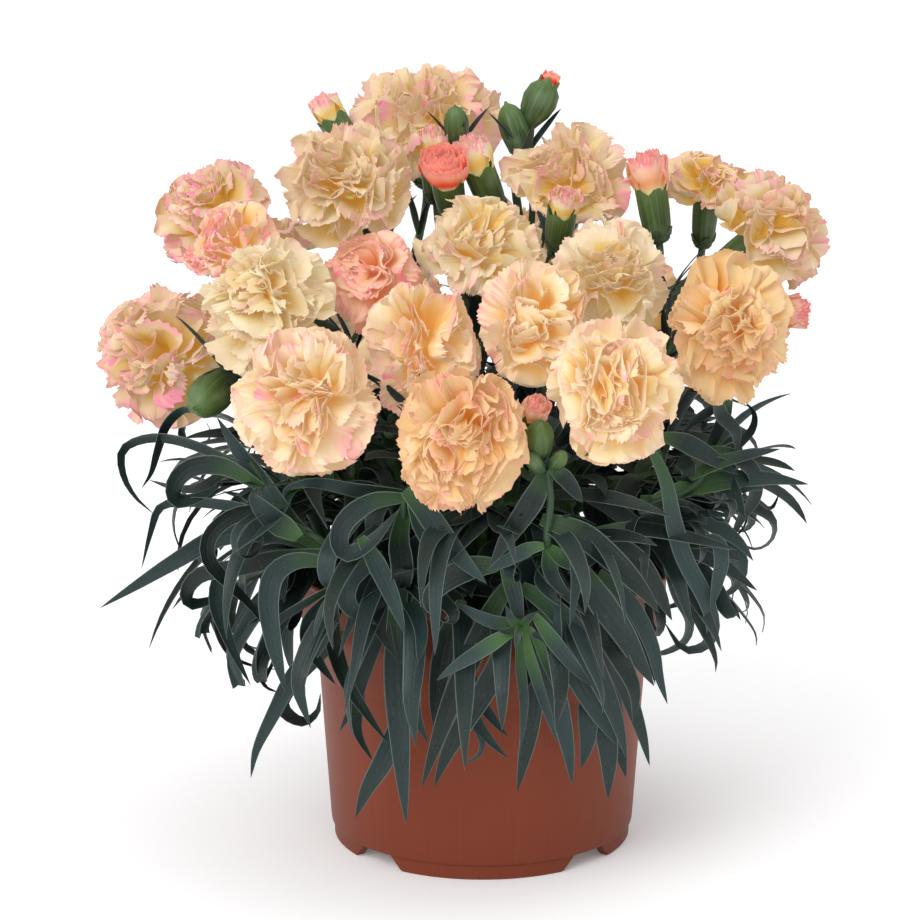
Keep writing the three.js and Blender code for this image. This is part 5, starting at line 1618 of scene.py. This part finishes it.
# pairs of thin leaves: their place along the stem, length, width, rise and bend
STEM_PAIRS = (
    (0.42, 72, 6.4, 46, 70),
    (0.58, 62, 5.8, 54, 60),
    (0.72, 50, 5.2, 64, 46),
    (0.87, 40, 4.4, 60, 44),
)
STALK_PAIRS = ((0.08, 34, 3.8, 60, 40), (0.5, 24, 2.8, 66, 30))


def add_stem_pair(batch, place, aside, sizes, numbers):
    """Adds the two thin leaves of a joint, one on each side of the stem."""
    length, width, rise, bend = sizes
    for side in (0, 180):
        habit = dict(length=length, width=width, rise=rise, bend=bend, droop=1.2, drift=0, twist=20)
        add_leaf(batch, place, aside + side, habit, open_room, 0.25, numbers)


def make_stems(name, line, fork, blooms, opening, closed, numbers):
    """The green piece of a spray: its stem, fork and stalks, with a cup on each stalk."""
    batch = Batch()
    add_stem(batch, line, STEM_RADIUS, JOINTS)
    knob = fork + np.outer(np.linspace(-FORK_REACH, FORK_REACH, len(FORK_KNOB)), UP)
    add_tube(batch, round_rings(knob, FORK_KNOB, STEM_SIDES), fresh=0.5)
    for flower in blooms:
        add_stem(batch, stalk_line(fork, flower), BRANCH_RADIUS, (0.5,), STALK_ROWS)
        radius = CALYX_RADIUS * mix(0.8, 1, (flower["radius"] - 15) / 10)
        add_calyx(batch, flower, CALYX_LENGTH, radius, 2.2, numbers)
    for flower in opening:
        add_stem(batch, stalk_line(fork, flower), BRANCH_RADIUS, (0.5,), STALK_ROWS)
        radius = min(flower["radius"] * 0.93, WIDEST_BUD_CUP)
        add_calyx(batch, flower, CALYX_LENGTH * BUD_CUP, radius, 2.4, numbers, flower["belly"])
    for flower in closed:
        add_stem(batch, stalk_line(fork, flower), BRANCH_RADIUS * 0.9, (), STALK_ROWS)
        add_green_bud(batch, flower, numbers)
    batch.make(f"stems_{name}", stem_material, "stem", [f"flower_spray_{name}"], sharp=60)


def make_stem_leaves(name, line, compass, fork, blooms, closed, numbers):
    """The thin leaves of a spray: at the joints, along the stalks and round the closed buds."""
    leaves = Batch()
    for at, *sizes in STEM_PAIRS:
        aside = 40 if at == 0.72 else numbers.uniform(100, 160)
        add_stem_pair(leaves, curve_places(line, at)[0], compass + aside, sizes, numbers)
    for flower in blooms:
        stalk = stalk_line(fork, flower)
        for at, *sizes in STALK_PAIRS:
            add_stem_pair(leaves, curve_places(stalk, at)[0], numbers.uniform(0, 180), sizes, numbers)
    for flower in closed:
        for aside, share in ((20, 1.0), (105, 0.8)):
            sizes = (4.2 * share * flower["radius"], 0.8 * flower["radius"], 58, 14)
            add_stem_pair(leaves, flower["foot"] - flower["facing"], aside, sizes, numbers)
    leaves.make(f"stem_leaves_{name}", leaf_material, "leaf")


for seed, (name, plan) in enumerate(SPRAYS.items()):
    numbers = np.random.default_rng(700 + seed)
    foot_radius, compass = plan["foot"]
    foot = around(foot_radius, compass, SOIL_TOP - HOLE_DEPTH)
    knee = np.array([foot[0] * 1.04, foot[1] * 1.04, KNEE_HEIGHT])
    line = [foot, foot + UP * (HOLE_DEPTH + 6), knee, plan["fork"]]
    blooms = [BLOOMS[key] for key in plan["blooms"]]
    opening = [OPENING_BUDS[key] for key in plan["buds"]]
    closed = [GREEN_BUDS[key] for key in plan["green"]]
    make_stems(name, line, plan["fork"], blooms, opening, closed, numbers)
    make_stem_leaves(name, line, compass, plan["fork"], blooms, closed, numbers)
print("stems and stem leaves for", len(SPRAYS), "sprays")

# %% [markdown]
# ## Petals
#
# A carnation petal is a fan on a narrow claw. Up to forty of them are packed in one cup: the outermost
# lie flat or turn back, the next ones stand in their gaps, and the innermost are upright and crumpled.
# The rim is cut in fine teeth and has more length than room, so it ruffles.
#
# Cloth simulation could crumple them, but it is slow and hard to steer. Here every petal is one formula:
# a midline from the cup to a place on the bloom's dome, a fan across it, and waves that grow to the rim.
# All petals of a bloom are worked out at once as arrays.

# %% The shape of petals
PETAL_ROWS = np.array([0, 0.22, 0.42, 0.6, 0.76, 0.9])[None, :, None]
PETAL_COLUMNS = 21
BUD_COLUMNS = 15
TOOTH = 0.85
CRUMPLES = ((24.0, 2.0), (11.0, 0.75))  # the length and depth of each set of waves, in mm
DOME_RISE = 0.72  # a bloom's height over its middle, and its depth below, as shares of its radius
DOME_DEPTH = 0.85


def petal_midlines(shape, shares):
    """Out and up along each petal's midline: from inside the cup over a knee to the tip."""
    lean = np.radians(shape["lean"])
    reach = np.hypot(shape["tip_out"] - shape["knee_out"], shape["tip_up"] - shape["knee_up"])
    hang_out = shape["tip_out"] - 0.5 * reach * np.cos(lean)
    hang_up = shape["tip_up"] - 0.5 * reach * np.sin(lean)
    left = 1 - shares
    a, b, c, d = left**3, 3 * left**2 * shares, 3 * left * shares**2, shares**3
    out = a * shape["base_out"] + b * shape["knee_out"] + c * hang_out + d * shape["tip_out"]
    up = a * shape["base_up"] + b * shape["knee_up"] + c * hang_up + d * shape["tip_up"]
    return out, up


def fold_plan(count, numbers):
    """How each petal folds: wide waves, fine pleats, a curl of the rim, and a notch or a swell."""
    ranges = {"roundness": (0.12, 0.26), "notch": (0, 0.12), "waves": (1.0, 2.2), "wave_start": (0, 6.28)}
    ranges.update(wave_slope=(-1.5, 1.5), pleats=(3.8, 6.2), pleat_start=(0, 6.28), depth=(0.7, 1.3))
    ranges.update(pleat_depth=(0.5, 1.3), rim_curl=(-0.7, 0.7), slant=(-0.25, 0.25))
    return {key: numbers.uniform(low, high, (count, 1, 1)) for key, (low, high) in ranges.items()}


def petal_points(shape, folds, across, along, teeth=0.0):
    """Points of the petals' middle surfaces in the bloom's own axes, with its axis along +Z."""
    shares = along * (1 - folds["roundness"] * np.abs(across) ** 2.6 * along)
    shares = shares * (1 - folds["notch"] * ease(0.7, 1, along) * (1 - np.abs(across)) ** 2)
    shares = shares + teeth * TOOTH / shape["length"]
    out, up = petal_midlines(shape, shares)
    later, sooner = petal_midlines(shape, shares + 0.01), petal_midlines(shape, shares - 0.01)
    ahead_out, ahead_up = later[0] - sooner[0], later[1] - sooner[1]
    size = np.hypot(ahead_out, ahead_up)

    sideways = shape["half_width"] * (0.1 + 0.9 * along**1.1) * across
    phase = math.pi * folds["waves"] * across + folds["wave_start"] + folds["wave_slope"] * along
    fine_phase = math.pi * folds["pleats"] * across + folds["pleat_start"] - 1.4 * along
    deep = shape["ruffle"] * folds["depth"] * ease(0.22, 1, along)
    fine = 0.3 * shape["ruffle"] * folds["pleat_depth"] * ease(0.55, 1, along)
    lift = deep * np.sin(phase) + fine * np.sin(fine_phase)
    lift = lift + shape["ruffle"] * folds["rim_curl"] * ease(0.7, 1, along)
    sideways = sideways + 0.3 * deep * np.cos(phase) + 0.2 * fine * np.cos(fine_phase)

    bend = sideways / shape["wrap"]
    out = out - ahead_up / size * lift - shape["wrap"] * (1 - np.cos(bend))
    sideways = shape["wrap"] * np.sin(bend)
    up = up + ahead_out / size * lift + sideways * folds["slant"] * along
    turn = np.radians(shape["turn"])
    x = np.cos(turn) * out - np.sin(turn) * sideways
    y = np.sin(turn) * out + np.cos(turn) * sideways
    return np.stack(np.broadcast_arrays(x, y, up), -1)


def crumple(points, one, numbers):
    """Moves all the points of a bloom by soft waves, so that its rounds of petals lose their order.

    Then whatever stands out of the bloom's dome is pressed down on it.
    """
    loose = ease(3, 12, np.linalg.norm(points, axis=-1))[..., None]
    for length, depth in CRUMPLES:
        waves = numbers.normal(0, 1, (3, 3))
        waves = 2 * math.pi / length * waves / np.linalg.norm(waves, axis=0)
        points = points + depth * loose * np.sin(points @ waves + numbers.uniform(0, 6.28, 3))
    radius, middle = one["radius"], MIDDLE_ABOVE_CUP * one["radius"] * UP
    out = points - middle
    height = np.where(out[..., 2] > 0, DOME_RISE * one["fullness"], DOME_DEPTH) * radius
    sideways = np.hypot(out[..., 0], out[..., 1]) / (radius * one["spread"])
    reach = np.hypot(sideways, out[..., 2] / height)
    return middle + out * (keep_below(reach, 1.0, 0.16) / np.maximum(reach, 0.01))[..., None]


print("a petal of a bloom has", 2 * PETAL_COLUMNS - 1, "points along its toothed rim")

# %% [markdown]
# The tips of the petals lie on a dome over the cup. The golden angle between one petal and the next
# fills every round evenly, as the real plant does. An opening bud has the same petals, rolled round one
# another. Where two blooms would meet, both are bent back from the flat between them, as real ones press
# each other out of round.

# %% Petals of a bloom and of a bud
GOLDEN_ANGLE = 137.508
CLAW_DEPTH = -1.8  # where the claws stand, in mm from the mouth of the cup
PRESS_GAP = 0.3
PRESS_SOFTNESS = 5.0


def bloom_shape(one, count, numbers):
    """Where the petals of a bloom go, outermost first."""
    inward = np.linspace(0, 1, count)
    radius, openness = one["radius"], one["openness"]
    scatter = numbers.uniform(-1, 1, count) * mix(16, 8, inward)
    height = np.radians(mix(-8, 86, inward**0.9) + scatter)
    raised = (1 - openness) * 0.5
    shape = dict(
        turn=GOLDEN_ANGLE * np.arange(count) + numbers.uniform(-20, 20, count),
        tip_out=radius * (np.cos(height) * numbers.uniform(0.88, 1.14, count) - 0.16 * inward**6),
        tip_up=radius * (0.18 + raised + 0.86 * np.sin(height)) * numbers.uniform(0.94, 1.06, count),
        lean=mix(-26, 52, inward) + numbers.uniform(-30, 30, count) + 60 * raised,
        knee_out=radius * mix(0.2, 0.06, inward),
        knee_up=radius * mix(0.2, 0.5, inward),
        base_out=radius * mix(0.12, 0.02, inward),
        base_up=CLAW_DEPTH,
        half_width=radius * mix(0.54, 0.42, inward) * numbers.uniform(0.88, 1.12, count),
        wrap=radius * mix(1.4, 0.6, inward),
        ruffle=radius * mix(0.17, 0.15, inward) * mix(0.75, 1, openness),
    )
    shape["tip_out"] *= one["spread"]
    shape["tip_up"] *= one["fullness"]
    shape["length"] = np.hypot(shape["tip_out"], shape["tip_up"]) + 1
    return shape


def bud_shape(radius, length, flare, count, numbers):
    """The rolled petals of an opening bud."""
    inward = np.linspace(0, 1, count)
    return dict(
        turn=GOLDEN_ANGLE * np.arange(count),
        tip_out=radius * mix(1.0 + flare, 0.16, inward) * numbers.uniform(0.9, 1.06, count),
        tip_up=length * mix(0.76, 0.98, inward) * numbers.uniform(0.92, 1.05, count),
        lean=mix(88, 98, inward) - 90 * flare * (1 - inward) + numbers.uniform(-8, 8, count),
        knee_out=radius * mix(1.02, 0.35, inward),
        knee_up=0.2 * length,
        base_out=min(radius, WIDEST_BUD_CUP) * mix(0.72, 0.1, inward),
        base_up=CLAW_DEPTH,
        half_width=radius * mix(1.05, 0.6, inward),
        wrap=radius * mix(1.0, 0.34, inward),
        ruffle=radius * (0.1 + 0.1 * max(flare, 0)),
        length=length * 1.3,
    )


def press_back(points, one):
    """Neighbouring blooms press together: bends points back from the flat between them."""
    for other in BLOOMS.values():
        apart = other["centre"] - one["centre"]
        distance = np.linalg.norm(apart)
        if other is one or distance > 1.25 * (one["radius"] + other["radius"]):
            continue
        towards = apart / distance
        limit = distance * one["radius"] / (one["radius"] + other["radius"]) - PRESS_GAP
        reach = (points - one["centre"]) @ towards
        points = points + (keep_below(reach, limit, PRESS_SOFTNESS) - reach)[..., None] * towards
    return points


print("petals stand", GOLDEN_ANGLE, "degrees apart and neighbours", 2 * PRESS_GAP, "mm")

# %% [markdown]
# ## Petal colour
#
# The petals are cream to apricot, paler towards the rim and deepest towards the heart, which is partly
# their own colour and partly painted warm shade of the folds.
# Pink runs in from the teeth in streaks and blots, and some blooms have much more of it than others.
# Where it lies is worked out with the shape, petal by petal, and the finish only breaks it up with fine
# streaks. Light goes through one petal to the next and comes back warmer from the folds. Scattering
# under the surface greys such thin sheets, so a faint warm glow of their own stands for that light.

# %% Petal finish
# by kind of petal: its colour in the heart, on the blade, at the rim, and where it blushes pink
PETAL_COLOURS = {
    "cream": [(202, 154, 66), (196, 173, 104), (210, 201, 170), (222, 108, 150)],
    # the next kind is the cream with painted shade: a little darker, for blooms towards the back and top
    "ivory": [(196, 150, 58), (191, 168, 102), (205, 191, 156), (220, 106, 156)],
    "peach": [(214, 160, 82), (211, 183, 115), (220, 205, 170), (228, 108, 150)],
    "gold": [(202, 128, 40), (202, 155, 70), (214, 187, 134), (224, 108, 134)],
    "salmon": [(204, 124, 80), (204, 152, 114), (216, 178, 156), (222, 72, 118)],
    "coral": [(190, 48, 28), (212, 76, 48), (232, 148, 122), (226, 96, 116)],
}
FOOT_COLOUR = shade(204, 200, 146)
GLOW_COLOUR = (0.42, 0.34, 0.22, 1.0)  # of the light that has come through a petal
GLOW = 0.36


def petal_material(kind):
    """The finish of one kind of petal."""
    heart, blade, rim, pink = (shade(*seen) for seen in PETAL_COLOURS[kind])
    finish = Finish(f"petal_{kind}", {"Specular IOR Level": 0.25, "Emission Strength": GLOW})
    along = finish.place("Y")
    tone = finish.value("tone")
    streaks = finish.noise(1.0, 4.0, stretch=(24, 1.6, 1))
    veins = finish.noise(1.0, 2.0, stretch=(70, 2.5, 1))
    clouds = finish.noise(260.0, 3.0)
    age = (1 - finish.value("fresh")) * 0.34 + tone * 0.08
    blushed = finish.value("blush") * (streaks.ease(0.38, 0.62) * 0.75 + 0.25)
    colour = finish.layered(
        FOOT_COLOUR,
        # the heart colour is partly the petals' own and partly painted warm shade deep in the folds
        (along.ease(0.1, 0.5), heart),
        ((along + age - 0.08).ease(0.43, 0.93), blade),
        ((along + age + clouds * 0.3 - 0.3).ease(0.6, 1.05), rim),
        (veins.ease(0.4, 0.75) * 0.1, heart),
        (blushed.clamped(), pink),
    )
    glow = finish.blend(along.ease(0.1, 0.5), FOOT_COLOUR, heart)
    glow = finish.blend(along.ease(0.45, 1.0), glow, GLOW_COLOUR)
    finish.feed(finish.shader.inputs["Emission Color"], glow)
    return finish.paint(colour, 0.5 + clouds * 0.2, veins * 0.5 + clouds * 0.5, 0.0002, 0.35)


petal_materials = {kind: petal_material(kind) for kind in PETAL_COLOURS}
PETAL_SLOTS = {kind: f"petal_{kind}" for kind in PETAL_COLOURS}
# the cream with painted shade shares the cream's slot
PETAL_SLOTS["ivory"] = PETAL_SLOTS["cream"]
print("petal finishes:", ", ".join(petal_materials))

# %% [markdown]
# Now the blooms open. Every petal gets its own folds, teeth and blots of pink, then the whole bloom is
# crumpled, turned to face its way, drawn out a little by its weight and pressed by its neighbours. All
# the petals of a bloom are one piece that replaces its plain solid.


# %% Building the blooms
def make_flower(name, one, shape, numbers, strength, columns, pressed, replaced):
    """Makes one flower of all its petals, and returns how many there are."""
    count = len(shape["turn"])
    shape = {key: np.broadcast_to(value, count)[:, None, None] for key, value in shape.items()}
    folds = fold_plan(count, numbers)
    across = np.linspace(-1, 1, columns)[None, None, :]
    rim_across = np.linspace(-1, 1, 2 * columns - 1)[None, None, :]
    teeth = numbers.uniform(0.3, 1.0, (count, 1, 2 * columns - 1))
    teeth[:, :, ::2] *= -0.5
    blot = numbers.uniform(0, 1, (count, 1, 1)) ** 2
    blot_middle = numbers.uniform(-0.9, 0.9, (count, 1, 1))
    blot_width = numbers.uniform(0.25, 0.6, (count, 1, 1))
    tone = numbers.uniform(-1, 1, (count, 1, 1))
    waves_from = numbers.integers(1 << 30)

    def placed(points):
        if pressed:
            points = crumple(points, one, np.random.default_rng(waves_from))
        turned = turned_from_up(points.reshape(-1, 3), one["facing"]).reshape(points.shape)
        if not pressed:
            return turned + one["mouth"]
        drawn_out = 1 + (one["tall"] - 1) * ease(4, 12, np.linalg.norm(points, axis=-1))
        turned[..., 2] *= drawn_out
        return press_back(turned + one["mouth"], one)

    def blush(across, along):
        patch = np.exp(-(((across - blot_middle) / blot_width) ** 2)) * blot
        rim_line, stain = ease(0.86, 0.98, along), ease(0.55, 0.95, along) * patch
        return np.clip(rim_line * (0.08 + 1.2 * strength) + stain * (0.3 + 1.8 * strength), 0, 1)

    young = np.linspace(0, 1, count)[:, None, None]
    rim = dict(
        points=placed(petal_points(shape, folds, rim_across, 1.0, teeth)),
        thickness=0.12, across=(rim_across + 1) / 2, along=1.0,
        tone=tone, fresh=young, blush=blush(rim_across, 1.0),
    )
    middles = placed(petal_points(shape, folds, across, PETAL_ROWS))
    batch = Batch()
    add_sheets(batch, middles, mix(0.42, 0.16, PETAL_ROWS), (across + 1) / 2, PETAL_ROWS, rim,
               tone=tone, fresh=young, blush=blush(across, PETAL_ROWS))
    batch.make(name, petal_materials[one["kind"]], PETAL_SLOTS[one["kind"]], replaced, sharp=60)
    return count


petal_count = 0
for seed, (name, one) in enumerate(BLOOMS.items()):
    numbers = np.random.default_rng(300 + seed)
    shape = bloom_shape(one, int(round(mix(24, 38, (one["radius"] - 15) / 10))), numbers)
    petal_count += make_flower(f"petals_{name}", one, shape, numbers, one["pink"], PETAL_COLUMNS,
                               True, [f"bloom_{name}"])

for seed, (name, one) in enumerate(OPENING_BUDS.items()):
    numbers = np.random.default_rng(500 + seed)
    count = 20 if name == "rosette" else int(2.1 * one["radius"])
    shape = bud_shape(one["radius"], one["length"], one["flare"], count, numbers)
    stands_for = [f"bud_petals_{name}"] if name != "pale" else []
    petal_count += make_flower(f"bud_{name}", one, shape, numbers, 1.0, BUD_COLUMNS, False, stands_for)
print(petal_count, "petals")

# %% [markdown]
# ## Measuring up
#
# The triangles of the finished plant are counted, mesh by mesh.

# %% Sizes and finish
triangles = {piece.name: len(piece.data.loops) - 2 * len(piece.data.polygons)
             for piece in bpy.data.objects if piece.type == "MESH"}
largest = max(triangles, key=triangles.get)
print(sum(triangles.values()), "triangles in", len(triangles), "meshes, most in", largest)
